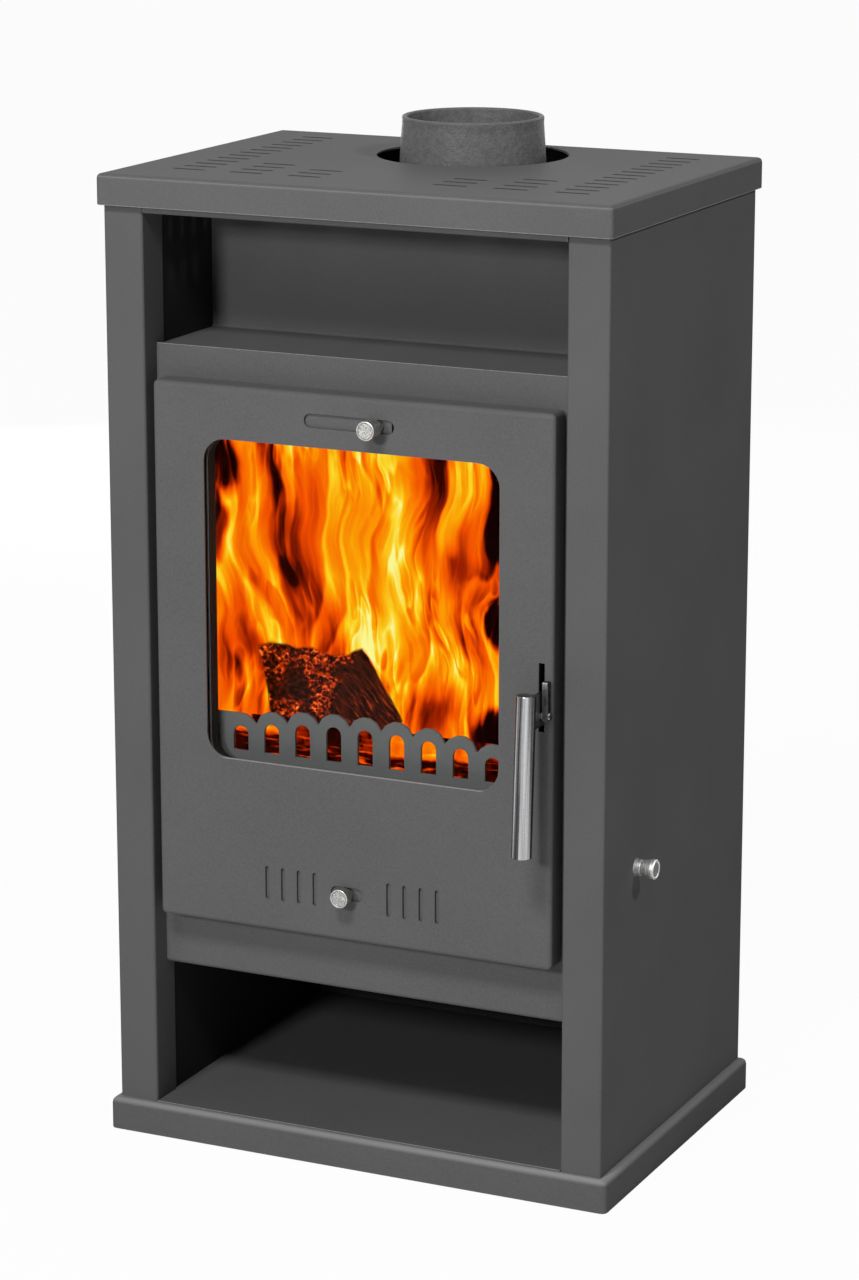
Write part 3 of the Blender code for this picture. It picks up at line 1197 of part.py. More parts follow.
def handle(carrier):
    axis = axis_empty("handle_axis", (HANDLE_X, PIVOT_Y, PIVOT_Z), carrier)
    down = Vector((0, -math.sin(HANDLE_LEAN), -math.cos(HANDLE_LEAN)))
    top = Vector((HANDLE_X, HANDLE_TOP_Y, HANDLE_TOP_Z))
    end_radius = HANDLE_RADIUS - HANDLE_CHAMFER
    profile = [(0, 0), (end_radius, 0), (HANDLE_RADIUS, -HANDLE_CHAMFER),
               (HANDLE_RADIUS, -HANDLE_LENGTH + HANDLE_CHAMFER), (end_radius, -HANDLE_LENGTH),
               (0, -HANDLE_LENGTH)]
    grip = turned("handle_tube", "chrome", profile, top, "Z", 24, lean=-HANDLE_LEAN)
    attach(grip, axis)
    nose = NOSE_TOP - NOSE_CHAMFER
    outline = [(handle_back(LEVER_BOTTOM) + HANDLE_JOINT, LEVER_BOTTOM),
               (NOSE_BACK_Y - LEVER_CORNER, LEVER_BOTTOM),
               (NOSE_BACK_Y, LEVER_BOTTOM + LEVER_CORNER), (NOSE_BACK_Y, nose),
               (NOSE_BACK_Y - NOSE_CHAMFER, NOSE_TOP), (NOSE_FRONT_Y + NOSE_CHAMFER, NOSE_TOP),
               (NOSE_FRONT_Y, nose), (NOSE_FRONT_Y, LEVER_TOP + LEVER_NECK),
               (NOSE_FRONT_Y - LEVER_NECK, LEVER_TOP), (handle_back(LEVER_TOP) + HANDLE_JOINT, LEVER_TOP)]
    lever = plate("handle_lever", "chrome", outline, [circle(PIVOT_Y, PIVOT_Z, PIVOT_RADIUS + GAP, 16)],
                  LEVER_THICKNESS, "X", HANDLE_X)
    attach(lever, axis)
    ear_front = DOOR_FRONT - GAP - EAR_DEPTH
    outline = rounded_rect(ear_front, DOOR_FRONT - GAP, FRONT_BOTTOM + EAR_RISE, FRONT_BOTTOM + EAR_TOP_RISE,
                           EAR_CORNER, 2)
    ear = plate("handle_ear", "chrome", outline,
                [circle(PIVOT_Y, PIVOT_Z, PIVOT_RADIUS + GAP, 16)], EAR_WIDTH, "X", EAR_LEFT + EAR_WIDTH / 2)
    attach(ear, carrier)
    left = LEVER_LEFT - GAP
    collar_right = EAR_LEFT - GAP
    right = EAR_LEFT + EAR_WIDTH + GAP
    collar_left = LEVER_RIGHT + GAP
    profile = [(0, right + PIVOT_HEAD), (PIVOT_HEAD_RADIUS, right + PIVOT_HEAD), (PIVOT_HEAD_RADIUS, right),
               (PIVOT_RADIUS, right), (PIVOT_RADIUS, collar_right), (PIVOT_HEAD_RADIUS, collar_right),
               (PIVOT_HEAD_RADIUS, collar_left), (PIVOT_RADIUS, collar_left), (PIVOT_RADIUS, left),
               (PIVOT_HEAD_RADIUS, left), (PIVOT_HEAD_RADIUS, left - PIVOT_HEAD), (0, left - PIVOT_HEAD)]
    pin = turned("handle_pin", "zinc", profile, (0, PIVOT_Y, PIVOT_Z), "X", 16)
    attach(pin, carrier)


def keeper():
    low = NOSE_TOP + KEEPER_GAP
    outline = rounded_rect(HANDLE_X - KEEPER_WIDTH / 2, HANDLE_X + KEEPER_WIDTH / 2, low, low + KEEPER_HEIGHT,
                           PLATE_CORNER, 2)
    hole = circle(HANDLE_X, low + KEEPER_HEIGHT * KEEPER_HOLE_LEVEL, KEEPER_HOLE_RADIUS, 12)
    plate("latch_keeper", "zinc", outline, [hole], KEEPER_PLATE, "Y", FRONT_FACE - GAP - KEEPER_PLATE / 2)


def build():
    base()
    side_panels()
    inner_walls()
    back_panel()
    bay_floor()
    front_rail()
    lid()
    front_plate()
    chamber()
    chamber_top()
    niche()
    smoke_box()
    flue_collar()
    supports()
    hearth()
    riddle = axis_empty("riddle_axis", (0, ROD_Y, ROD_Z))
    grate(riddle)
    riddling_rod(riddle)
    lining()
    log_guard()
    ash_pan()
    door = axis_empty("door_axis", (HINGE_X, HINGE_Y, 0))
    door_panel(door)
    door_liner(door)
    glazing(door)
    door_rope(door)
    upper_air(door)
    lower_air(door)
    hinges(door)
    handle(door)
    keeper()


build()
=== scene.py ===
import math
import random
from functools import partialmethod

import bmesh
import bpy
from mathutils import Matrix, Vector, noise


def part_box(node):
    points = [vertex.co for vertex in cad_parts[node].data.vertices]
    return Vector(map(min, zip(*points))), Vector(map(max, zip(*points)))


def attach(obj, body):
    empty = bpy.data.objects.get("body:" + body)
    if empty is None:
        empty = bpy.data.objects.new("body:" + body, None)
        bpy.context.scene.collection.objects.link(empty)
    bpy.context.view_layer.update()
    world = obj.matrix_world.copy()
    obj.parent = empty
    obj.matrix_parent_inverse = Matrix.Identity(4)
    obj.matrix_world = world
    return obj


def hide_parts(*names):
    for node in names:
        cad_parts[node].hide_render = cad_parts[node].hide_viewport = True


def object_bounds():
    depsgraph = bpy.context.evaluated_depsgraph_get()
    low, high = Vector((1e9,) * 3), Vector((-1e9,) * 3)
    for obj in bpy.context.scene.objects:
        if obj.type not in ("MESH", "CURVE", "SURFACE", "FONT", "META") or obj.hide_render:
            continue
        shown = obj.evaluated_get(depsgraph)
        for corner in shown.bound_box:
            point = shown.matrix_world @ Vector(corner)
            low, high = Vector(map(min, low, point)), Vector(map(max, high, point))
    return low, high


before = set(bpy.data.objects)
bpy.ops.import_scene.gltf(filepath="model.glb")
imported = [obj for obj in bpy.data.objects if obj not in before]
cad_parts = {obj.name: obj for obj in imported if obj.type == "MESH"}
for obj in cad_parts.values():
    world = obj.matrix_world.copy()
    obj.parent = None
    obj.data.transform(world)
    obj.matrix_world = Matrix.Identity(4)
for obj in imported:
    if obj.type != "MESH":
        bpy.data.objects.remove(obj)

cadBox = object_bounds()
print("stage: frame loaded")


# Shader sums: a wire is a socket that takes part in expressions.

class Wire:
    def __init__(self, bench, socket):
        self.bench = bench
        self.socket = socket

    def reckon(self, operation, *others):
        return self.bench.add("Math", {"operation": operation}, dict(enumerate((self, *others))))

    __add__ = partialmethod(reckon, "ADD")
    __sub__ = partialmethod(reckon, "SUBTRACT")
    __mul__ = partialmethod(reckon, "MULTIPLY")
    __truediv__ = partialmethod(reckon, "DIVIDE")
    __pow__ = partialmethod(reckon, "POWER")
    size = partialmethod(reckon, "ABSOLUTE")

    def follow(self, operation, other):
        return self.bench.add("Math", {"operation": operation}, {0: other, 1: self})

    __radd__ = partialmethod(follow, "ADD")
    __rsub__ = partialmethod(follow, "SUBTRACT")
    __rmul__ = partialmethod(follow, "MULTIPLY")
    __rtruediv__ = partialmethod(follow, "DIVIDE")
    __rpow__ = partialmethod(follow, "POWER")

    def held(self):
        # kept between 0 and 1
        return self.bench.add("Clamp", None, {"Value": self})

    def spread(self, low, high):
        # 0 at low, 1 at high, smooth between them
        return self.bench.add("MapRange", {"interpolation_type": "SMOOTHSTEP"},
                              {"Value": self, "From Min": low, "From Max": high})


class NodeBench:
    def __init__(self, tree):
        self.tree = tree

    def add(self, kind, settings=None, sockets=None, out=0):
        node = self.tree.nodes.new("ShaderNode" + kind)
        for name, value in (settings or {}).items():
            if name == "stops":
                self.setStops(node.color_ramp, value)
            else:
                setattr(node, name, value)
        for name, value in (sockets or {}).items():
            self.plug(node.inputs[name], value)
        return Wire(self, node.outputs[out])

    def plug(self, socket, value):
        if isinstance(value, Wire):
            self.tree.links.new(value.socket, socket)
        else:
            socket.default_value = value

    def setStops(self, ramp, stops):
        while len(ramp.elements) > 1:
            ramp.elements.remove(ramp.elements[-1])
        ramp.elements[0].position = stops[0][0]
        ramp.elements[0].color = (*stops[0][1], 1.0)
        for place, colour in stops[1:]:
            ramp.elements.new(place).color = (*colour, 1.0)

    def seenDirectly(self):
        # 1 for what the camera, a mirror or a pane looks at, 0 for the light on other things
        path = self.add("LightPath", out="Is Camera Ray")
        rays = path.socket.node.outputs
        mirrored = path.reckon("MAXIMUM", Wire(self, rays["Is Glossy Ray"]))
        return mirrored.reckon("MAXIMUM", Wire(self, rays["Is Transmission Ray"]))


class Paint(NodeBench):
    def __init__(self, name, slot, tone):
        self.slot = slot
        self.material = bpy.data.materials.new(name)
        self.material.use_nodes = True
        super().__init__(self.material.node_tree)
        self.shader = self.tree.nodes["Principled BSDF"]
        self.give("Base Color", (*tone["low"], 1.0))
        self.give("Roughness", tone["roughness"])
        self.give("Metallic", tone.get("metallic", 0.0))
        self.give("Specular IOR Level", tone.get("sheen", 0.5))

    def give(self, name, value):
        self.plug(self.shader.inputs[name], value)

    def finishWith(self, shader):
        self.plug(self.tree.nodes["Material Output"].inputs["Surface"], shader)

    def coords(self):
        return self.add("TexCoord", out="Object")

    def parts(self, vector=None):
        split = self.add("SeparateXYZ", None, {0: vector or self.coords()})
        return [Wire(self, output) for output in split.socket.node.outputs]

    def join(self, x, y, z):
        return self.add("CombineXYZ", None, {0: x, 1: y, 2: z})

    def grain(self, scale, detail=3.0, roughness=0.5, vector=None, stretch=None, out=0):
        place = vector or self.coords()
        if stretch:
            place = self.add("VectorMath", {"operation": "MULTIPLY"}, {0: place, 1: stretch})
        return self.add("TexNoise", None, {"Vector": place, "Scale": scale, "Detail": detail,
                                           "Roughness": roughness}, out)

    def blend(self, factor, first, second):
        first, second = (end if isinstance(end, Wire) else (*end, 1.0) for end in (first, second))
        return self.add("Mix", {"data_type": "RGBA"}, {0: factor, 6: first, 7: second}, 2)

    def tint(self, factor, tone):
        self.give("Base Color", self.blend(factor, tone["low"], tone["high"]))

    def dent(self, height, depth, strength):
        bump = self.add("Bump", None, {"Height": height, "Distance": depth, "Strength": strength})
        self.give("Normal", bump)

    def burn(self, heat, stops):
        self.give("Emission Color", self.add("ValToRGB", {"stops": stops}, {"Fac": heat.held()}))
        self.give("Emission Strength", 1.0)


# Finishes. A grain is (scale, detail, roughness), a bump (depth, strength).

greyCoat = {"roughness": 0.52, "sheen": 0.05, "speck": (760, 2.0, 0.6), "skin": (900, 2.0, 0.55),
            "bump": (0.00008, 0.35)}


def greyPaint(name, **changes):
    # matte heat-resistant paint with a fine sparkle and faint clouds, and where asked a painted highlight
    # along a fold or the window's lower edge
    tone = {"low": (0.100, 0.100, 0.102), "high": (0.154, 0.154, 0.156), "cloud": (9, 3.0, 0.5),
            "crest": None, "lip": None, **greyCoat, **changes}
    paint = Paint(name, "grey_paint", tone)
    cloud = paint.grain(*tone["cloud"])
    mix = paint.grain(*tone["speck"]) * 1.1 + cloud * 0.5 - 0.30
    coat = paint.blend(mix.held(), tone["low"], tone["high"])
    crest, lip = tone["crest"], tone["lip"]
    if crest:  # painted highlight: paler towards the fold at the piece's top
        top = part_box(crest["node"])[1].z
        band = paint.parts()[2].spread(top - crest["deep"], top)
        coat = paint.blend(band * crest["share"], coat, crest["highlightTone"])
    if lip:  # painted highlight: a fine pale line along the window's lower edge
        x, _, z = paint.parts()
        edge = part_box("glass_seal")[0].z + lip["rise"]
        line = z.spread(edge - lip["deep"], edge - lip["deep"] * 0.6) * z.spread(edge + 0.002, edge + 0.001)
        line = line * x.size().spread(lip["half"], lip["half"] - lip["fade"])
        coat = paint.blend(line * lip["share"], coat, lip["highlightTone"])
    paint.give("Base Color", coat)
    paint.give("Roughness", cloud * 0.12 + tone["roughness"] - 0.06)
    paint.dent(paint.grain(*tone["skin"]), *tone["bump"])
    return paint


def edgeHighlightSlotShadePaint():
    # painted highlight paler along the softened folds, and painted shade dark on the rims of the cut slots
    tone = {"low": (0.240, 0.240, 0.242), "high": (0.340, 0.340, 0.342), "rim": (0.030, 0.030, 0.031),
            "fade": 0.0004, "fold": 0.006, "near": 0.002, "deep": 0.004, **greyCoat}
    paint = Paint("grey_edge_painted_highlight_slot_shade", "grey_paint", tone)
    place = paint.parts()
    lidLow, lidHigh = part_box("top_plate")
    doorLow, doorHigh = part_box("door_panel")
    paneLow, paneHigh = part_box("door_glass")
    fold, near = tone["fold"], tone["near"]
    doorX = (doorLow.x + fold, doorHigh.x - fold)
    doorY = (doorLow.y - near, doorLow.y + tone["deep"])
    slotted = (((lidLow.x + fold, lidHigh.x - fold), (lidLow.y + fold, lidHigh.y - fold),
                (lidHigh.z - near, lidHigh.z + near)),
               (doorX, doorY, (doorLow.z + fold, paneLow.z - near)),
               (doorX, doorY, (paneHigh.z + near, doorHigh.z - fold)))
    cut = 0.0
    for area in slotted:
        inside = 1.0
        for spot, (low, high) in zip(place, area):
            inside = spot.spread(low, low + tone["fade"]) * inside
            inside = spot.spread(high, high - tone["fade"]) * inside
        cut = inside + cut
    speck = paint.grain(*tone["speck"]).spread(0.3, 0.7)
    paintedEdgeLight = paint.blend(speck, tone["low"], tone["high"])
    # painted shade on the slots' rims, painted highlight on the other softened edges
    paint.give("Base Color", paint.blend(cut.held(), paintedEdgeLight, tone["rim"]))
    paint.dent(paint.grain(*tone["skin"]), *tone["bump"])
    return paint


def nearBlackShadePaint():
    # near-black paint for places that sit in shade: painted shade
    tone = {"low": (0.020, 0.020, 0.021), "high": (0.036, 0.036, 0.037), "roughness": 0.62, "sheen": 0.05,
            "speck": (1100, 1.0), "cloud": (14, 4.0, 0.6), "skin": (700, 2.0), "bump": (0.00008, 0.3)}
    paint = Paint("near_black_painted_shade", "dark_paint", tone)
    cloud = paint.grain(*tone["cloud"])
    paint.tint((paint.grain(*tone["speck"]) * 0.6 + cloud * 0.5).held(), tone)
    paint.give("Roughness", cloud * 0.2 + tone["roughness"] - 0.1)
    paint.dent(paint.grain(*tone["skin"]), *tone["bump"])
    return paint


def castIron():
    # sand-cast skin under the same grey paint
    tone = {"low": (0.078, 0.078, 0.080), "high": (0.188, 0.188, 0.190), "roughness": 0.46, "sheen": 0.2,
            "lump": (210, 4.0, 0.62), "pit": (620, 2.0, 0.5), "bump": (0.0012, 0.75)}
    paint = Paint("cast_grey_iron", "cast_iron", tone)
    lump = paint.grain(*tone["lump"])
    pit = paint.grain(*tone["pit"])
    paint.tint((lump * 1.1 + pit * 0.5 - 0.35).held(), tone)
    paint.give("Roughness", pit * 0.25 + tone["roughness"] - 0.12)
    paint.dent(lump * 0.8 + pit * 0.35, *tone["bump"])
    return paint


def metal(name, slot, changes):
    # a pattern varies its tint and roughness, and its surface where no other skin is given
    tone = {"roughness": 0.36, "metallic": 1.0, "stretch": None, "band": (0.3, 0.7), "vary": 0.0,
            "smoother": 0.1, "skin": None, "bump": None, **changes}
    paint = Paint(name, slot, tone)
    pattern = paint.grain(*tone["pattern"], stretch=tone["stretch"])
    paint.tint(pattern.spread(*tone["band"]), tone)
    if tone["vary"]:
        paint.give("Roughness", pattern * tone["vary"] + tone["roughness"] - tone["smoother"])
    if tone["bump"]:
        paint.dent(paint.grain(*tone["skin"]) if tone["skin"] else pattern, *tone["bump"])
    return paint


def chromePaintedReflections():
    # painted reflections: straight bright and dark streaks run down the tube, with fine pits
    tone = {"low": (0.05, 0.05, 0.052), "high": (0.60, 0.60, 0.61), "roughness": 0.12, "metallic": 1.0,
            "lean": 3.4, "broad": (170, 170, 2.0), "fine": (900, 900, 8.0), "pits": (1400, 2.0, 0.6),
            "bump": (0.00003, 0.25)}
    paint = Paint("chrome_painted_reflections", "chrome", tone)
    centre = middleOf("handle_tube")
    x, y, z = paint.parts()
    deep = y - centre.y - (z - centre.z) * math.tan(math.radians(tone["lean"]))
    sides = (x - centre.x, deep, z)
    broad = paint.grain(1.0, 1.0, 0.5, paint.join(*(side * gain for side, gain in zip(sides, tone["broad"]))))
    fine = paint.grain(1.0, 2.0, 0.6, paint.join(*(side * gain for side, gain in zip(sides, tone["fine"]))))
    pits = paint.grain(*tone["pits"])
    paintedReflection = broad.spread(0.47, 0.66) * 0.72 + fine.spread(0.42, 0.68) * 0.32 + (pits - 0.5) * 0.45 - 0.05
    paint.tint(paintedReflection.held(), tone)
    paint.give("Roughness", fine * 0.16 + tone["roughness"] - 0.04)
    paint.dent(pits, *tone["bump"])
    return paint


def firebrick():
    tone = {"low": (0.012, 0.009, 0.008), "high": (0.10, 0.070, 0.048), "roughness": 0.94,
            "soot": (11, 5.0, 0.65), "sootFrom": 0.36, "skin": (380, 4.0, 0.65), "bump": (0.0006, 0.6)}
    paint = Paint("sooty_fireclay", "fireclay", tone)
    soot = paint.grain(*tone["soot"]) + (paint.parts()[2] - tone["sootFrom"]) * 2.4
    paint.give("Base Color", paint.blend(soot.spread(0.35, 0.85), tone["high"], tone["low"]))
    paint.dent(paint.grain(*tone["skin"]), *tone["bump"])
    return paint


def wovenRope():
    tone = {"low": (0.07, 0.068, 0.064), "high": (0.26, 0.255, 0.24), "roughness": 0.95, "twist": 2600,
            "slant": 1800, "fuzz": 240, "bump": (0.0004, 0.7)}
    paint = Paint("glass_fibre_rope", "sealing_rope", tone)
    x, y, z = paint.parts()
    strand = (x * tone["twist"] + y * tone["slant"] + z * tone["twist"]).reckon("SINE")
    cross = (x * tone["twist"] - y * tone["slant"] - z * tone["twist"]).reckon("SINE")
    weave = (strand * cross * 0.5 + 0.5).held()
    paint.tint((weave * 0.8 + paint.grain(tone["fuzz"]) * 0.3).held(), tone)
    paint.dent(weave, *tone["bump"])
    return paint


def stoveGlass():
    tone = {"low": (0.9, 0.87, 0.8), "roughness": 0.03, "clear": (0.98, 0.98, 0.975, 1.0), "gloss": 0.02,
            "index": 1.45}
    paint = Paint("stove_glass", "stove_glass", tone)
    clear = paint.add("BsdfTransparent", None, {"Color": tone["clear"]})
    gloss = paint.add("BsdfGlossy", None, {"Color": (1.0, 1.0, 1.0, 1.0), "Roughness": tone["roughness"]})
    rim = paint.add("Fresnel", None, {"IOR": tone["index"]})
    paint.finishWith(paint.add("MixShader", None, {0: rim * tone["gloss"], 1: clear, 2: gloss}))
    return paint


unlit = {"low": (0.0, 0.0, 0.0), "roughness": 1.0, "sheen": 0.0}      # a sheet that only glows


def flamePaint(name, spec):
    # Swaying licks of fire: each strand has a bright edge and fades behind it.
    # A strand is (count, stretch, shift), and some add a power.
    form = {"wide": (4.5, 8.0), "tight": (22, 17), "tightSeed": 3.7, "rise": 0.12, "quiver": 0.03,
            "body": (24, 4.0, 9.1, 2.0), "patches": (30, 2.5, 31.0), "licks": (26, 5.0, 1.3, 1.4),
            "smallLicks": (60, 5.0, 5.9, 1.6), "lines": (90, 6.0, 14.2, 7.0), "hairs": (170, 6.0, 21.0, 6.0),
            "hotter": 0.22, "colder": 0.75}
    paint = Paint(name, "stove_glass", unlit)
    x, _, z = paint.parts()
    seed = spec["seed"]
    place = paint.join(x * form["wide"][0], seed, z * form["wide"][1])
    wideX, wideY, _ = paint.parts(paint.grain(1.0, 1.0, 0.5, place, out=1))
    place = paint.join(x * form["tight"][0], seed + form["tightSeed"], z * form["tight"][1])
    tightX, tightY, _ = paint.parts(paint.grain(1.0, 2.0, 0.5, place, out=1))
    swayed = x + (wideX - 0.5) * spec["sway"] + (tightX - 0.5) * spec["curl"]
    risen = z + (wideY - 0.5) * form["rise"] + (tightY - 0.5) * form["quiver"]

    def strand(count, stretch, shift, detail=1.0):
        spot = paint.join(swayed * count, seed + shift, risen * (count / stretch))
        return paint.grain(1.0, detail, 0.5, spot)

    def lick(count, stretch, shift, power):
        phase = (strand(count, stretch, shift) * 5.0 + swayed * count * 0.35 + shift).reckon("FRACT")
        return phase.spread(0.0, 0.20) * (1 - phase) ** power

    def line(count, stretch, shift, power):
        return (1 - (strand(count, stretch, shift) * 2 - 1).size()) ** power

    def blot(middleX, middleZ, halfX, halfZ):
        across = ((swayed - middleX) / halfX) ** 2.0
        return (1 - across - ((risen - middleZ) / halfZ) ** 2.0).held()

    body = strand(*form["body"])
    patchy = strand(*form["patches"]).spread(0.36, 0.62)
    heat = (body - 0.5) * spec["contrast"] + lick(*form["licks"]) * 0.34
    heat = heat + lick(*form["smallLicks"]) * patchy * 0.30
    heat = heat + line(*form["lines"]) * patchy * 0.20 + line(*form["hairs"]) * 0.07 + spec["warmth"]
    for place in spec["hot"]:
        heat = heat + blot(*place) * form["hotter"]
    for place in spec["cold"]:
        heat = heat - blot(*place).spread(0.0, 0.8) * form["colder"]
    paint.burn(heat, spec["stops"])
    if spec["parted"]:
        # see-through in front of the split log, inside the lines of its left, right and top
        left = x + 0.107 - (0.441 - z) * 0.255
        right = (0.442 - z) * 0.709 - 0.0103 - x
        inside = left.reckon("MINIMUM", right).reckon("MINIMUM", 0.440 - z) + (body - 0.5) * 0.030
        paint.give("Alpha", 1 - inside.spread(-0.0015, 0.0015))
    return paint


def emberGlow(spec):
    # what glows behind the guard's holes: hot above, dark below with thin red layers
    form = {"sag": 0.006, "layers": (45, 420), "hole": 0.0105, "fade": 0.14}
    paint = Paint("ember_glow", "stove_glass", unlit)
    x, y, z = paint.parts()
    bent = z + (paint.grain(60, 2.0, 0.5) - 0.5) * form["sag"]
    place = paint.join(x * form["layers"][0], y, bent * form["layers"][1])
    layer = paint.grain(1.0, 2.0, 0.6, place).spread(0.50, 0.68)
    cloud = paint.grain(150, 3.0, 0.6, stretch=(1.0, 1.0, 0.6))
    rise = (z - spec["low"]) / spec["height"]
    heat = layer * 0.30 * (1.1 - rise) + (cloud - 0.5) * 0.45 + 0.07
    for middle, start, gain in spec["spots"]:
        near = 1 - ((x - middle) / form["hole"]).size().spread(0.6, 1.0)
        above = (bent - spec["low"]).spread(start * spec["height"], (start + form["fade"]) * spec["height"])
        heat = heat + near * above * gain
    paint.burn(heat, spec["stops"])
    return paint


def charredWood(name, spec):
    # black char with fine red glints, and a few cracks that glow
    tone = {"low": (0.010, 0.008, 0.007), "roughness": 0.85, "sheen": 0.08, "bump": (0.003, 0.8)}
    char = {"low": (0.006, 0.004, 0.004), "high": (0.050, 0.014, 0.008)}
    stops = ((0.0, (0.004, 0.001, 0.0)), (0.25, (0.050, 0.004, 0.0)), (0.5, (0.36, 0.022, 0.002)),
             (0.8, (0.95, 0.10, 0.006)), (1.0, (1.0, 0.34, 0.03)))
    paint = Paint(name, "fireclay", tone)
    place = paint.coords()
    patch = paint.grain(30, 3.0, 0.55, place).spread(spec["cold"], spec["cold"] + 0.24)
    glint = paint.grain(spec["scale"], 4.0, 0.72, place, spec["stretch"])
    crack = 1 - (paint.grain(spec["scale"] * 0.22, 3.0, 0.6, place, spec["stretch"]) * 2 - 1).size()
    glow = glint.spread(0.44, 0.70) * 0.62 + crack ** 14.0 * 0.55
    paint.burn(glow * (patch * 0.8 + 0.2) * spec["glow"], stops)
    paint.tint(glint.spread(0.4, 0.75), char)
    paint.dent(glint * 0.7 + crack * 0.4, *tone["bump"])
    return paint


def endGrain():
    # the log's split end: fine dark fibres that glow dull red
    tone = {"low": (0.012, 0.006, 0.005), "roughness": 0.8, "sheen": 0.08, "slant": 0.55,
            "fibres": (520, 40, 60), "bump": (0.0015, 0.6)}
    stops = ((0.0, (0.005, 0.001, 0.0005)), (0.3, (0.070, 0.008, 0.002)), (0.6, (0.34, 0.035, 0.004)),
             (1.0, (0.8, 0.12, 0.01)))
    paint = Paint("charred_end_grain", "fireclay", tone)
    x, y, z = paint.parts()
    bent = paint.grain(40, 2.0, 0.5) * 0.010
    across, deep, along = tone["fibres"]
    place = paint.join((x + z * tone["slant"] + bent) * across, y * deep, (z - x * tone["slant"]) * along)
    fibre = paint.grain(1.0, 3.0, 0.6, place)
    patch = paint.grain(24, 2.0, 0.5).spread(0.30, 0.72)
    paint.burn(fibre.spread(0.38, 0.72) * 0.80 * (patch * 0.7 + 0.40), stops)
    paint.dent(fibre, *tone["bump"])
    return paint


# Making and placing pieces

toFront = Matrix.Rotation(math.pi / 2, 4, "X")      # +Z to -Y
toRight = Matrix.Rotation(math.pi / 2, 4, "Y")      # +Z to +X
toBack = Matrix.Rotation(-math.pi / 2, 4, "X")      # +Z to +Y
upright = Matrix.Identity(4)


def addPiece(name, shape, paint, body):
    mesh = bpy.data.meshes.new(name)
    shape.to_mesh(mesh)
    shape.free()
    mesh.polygons.foreach_set("use_smooth", [True] * len(mesh.polygons))
    piece = bpy.data.objects.new(name, mesh)
    bpy.context.scene.collection.objects.link(piece)
    piece.data.materials.append(paint.material)
    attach(piece, body)
    return piece


def evenShade(piece, split=38):
    # smooth folds beside flat faces, and crisp corners
    edges = piece.modifiers.new("corners", "EDGE_SPLIT")
    edges.split_angle = math.radians(split)
    even = piece.modifiers.new("even_shade", "WEIGHTED_NORMAL")
    even.mode = "FACE_AREA"
    even.weight = 80
    even.keep_sharp = True


def dress(name, paint, edge=0.0003, edgeLightPaint=None, clamp=True):
    # a CAD node keeps its shape and gets its finish and softened edges
    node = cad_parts[name]
    node.data.materials.clear()
    node.data.materials.append(paint.material)
    node.data.polygons.foreach_set("use_smooth", [True] * len(node.data.polygons))
    weld = node.modifiers.new("weld", "WELD")
    weld.merge_threshold = 0.00001
    if edge:
        flat = node.modifiers.new("flat", "DECIMATE")
        flat.decimate_type = "DISSOLVE"
        flat.angle_limit = math.radians(0.5)
        soft = node.modifiers.new("soft_edge", "BEVEL")
        soft.width = edge
        soft.segments = 2
        soft.limit_method = "ANGLE"
        soft.angle_limit = math.radians(50)
        soft.miter_outer = "MITER_ARC"
        soft.use_clamp_overlap = clamp
        if edgeLightPaint:  # the softened edges take the painted highlight, and painted shade in the slots
            node.data.materials.append(edgeLightPaint.material)
            soft.material = 1
    evenShade(node)


def ringOf(shape, radius, height, steps):
    # a ring of corners, or a single one on the axis
    count = steps if radius > 1e-6 else 1
    return [shape.verts.new((radius * math.cos(math.tau * step / steps),
                             radius * math.sin(math.tau * step / steps), height)) for step in range(count)]


def skin(shape, rings):
    # faces between neighbouring rings, in a fan where a ring is a single point
    for near, far in zip(rings, rings[1:]):
        steps = max(len(near), len(far))
        for step in range(steps):
            after = (step + 1) % steps
            if len(near) == 1:
                shape.faces.new((near[0], far[after], far[step]))
            elif len(far) == 1:
                shape.faces.new((near[step], near[after], far[0]))
            else:
                shape.faces.new((near[step], near[after], far[after], far[step]))


def stand(shape, place=Vector(), turn=upright):
    # turn carries +Z to the piece's axis
    bmesh.ops.recalc_face_normals(shape, faces=shape.faces)
    bmesh.ops.transform(shape, matrix=Matrix.Translation(place) @ turn, verts=shape.verts)
    return shape


def lathe(name, profile, place, turn, paint, body, steps=64):
    # profile lists (radius, height)
    shape = bmesh.new()
    skin(shape, [ringOf(shape, radius, height, steps) for radius, height in profile])
    piece = addPiece(name, stand(shape, place, turn), paint, body)
    evenShade(piece)
    return piece


def offset(rows):
    # profile points from (radius, millimetres outwards, height, millimetres up)
    return [(radius + out / 1000, height + up / 1000) for radius, out, height, up in rows]


def rounded(radius, height, wide, high, steps, degrees=90):
    # profile points round a rim: from its top, or with 180 degrees from its inside, to its outside
    angles = [math.radians(degrees - degrees * step / steps) for step in range(1, steps + 1)]
    return [(radius + wide * math.cos(angle), height + high * math.sin(angle)) for angle in angles]


def sheetOf(columns, rows, place):
    # a grid of faces; place(column, row) gives each corner
    shape = bmesh.new()
    grid = [[shape.verts.new(place(column, row)) for column in range(columns + 1)] for row in range(rows + 1)]
    for near, far in zip(grid, grid[1:]):
        for column in range(columns):
            shape.faces.new((near[column], near[column + 1], far[column + 1], far[column]))
    return shape


def middleOf(name):
    low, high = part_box(name)
    return (low + high) / 2


# Pieces

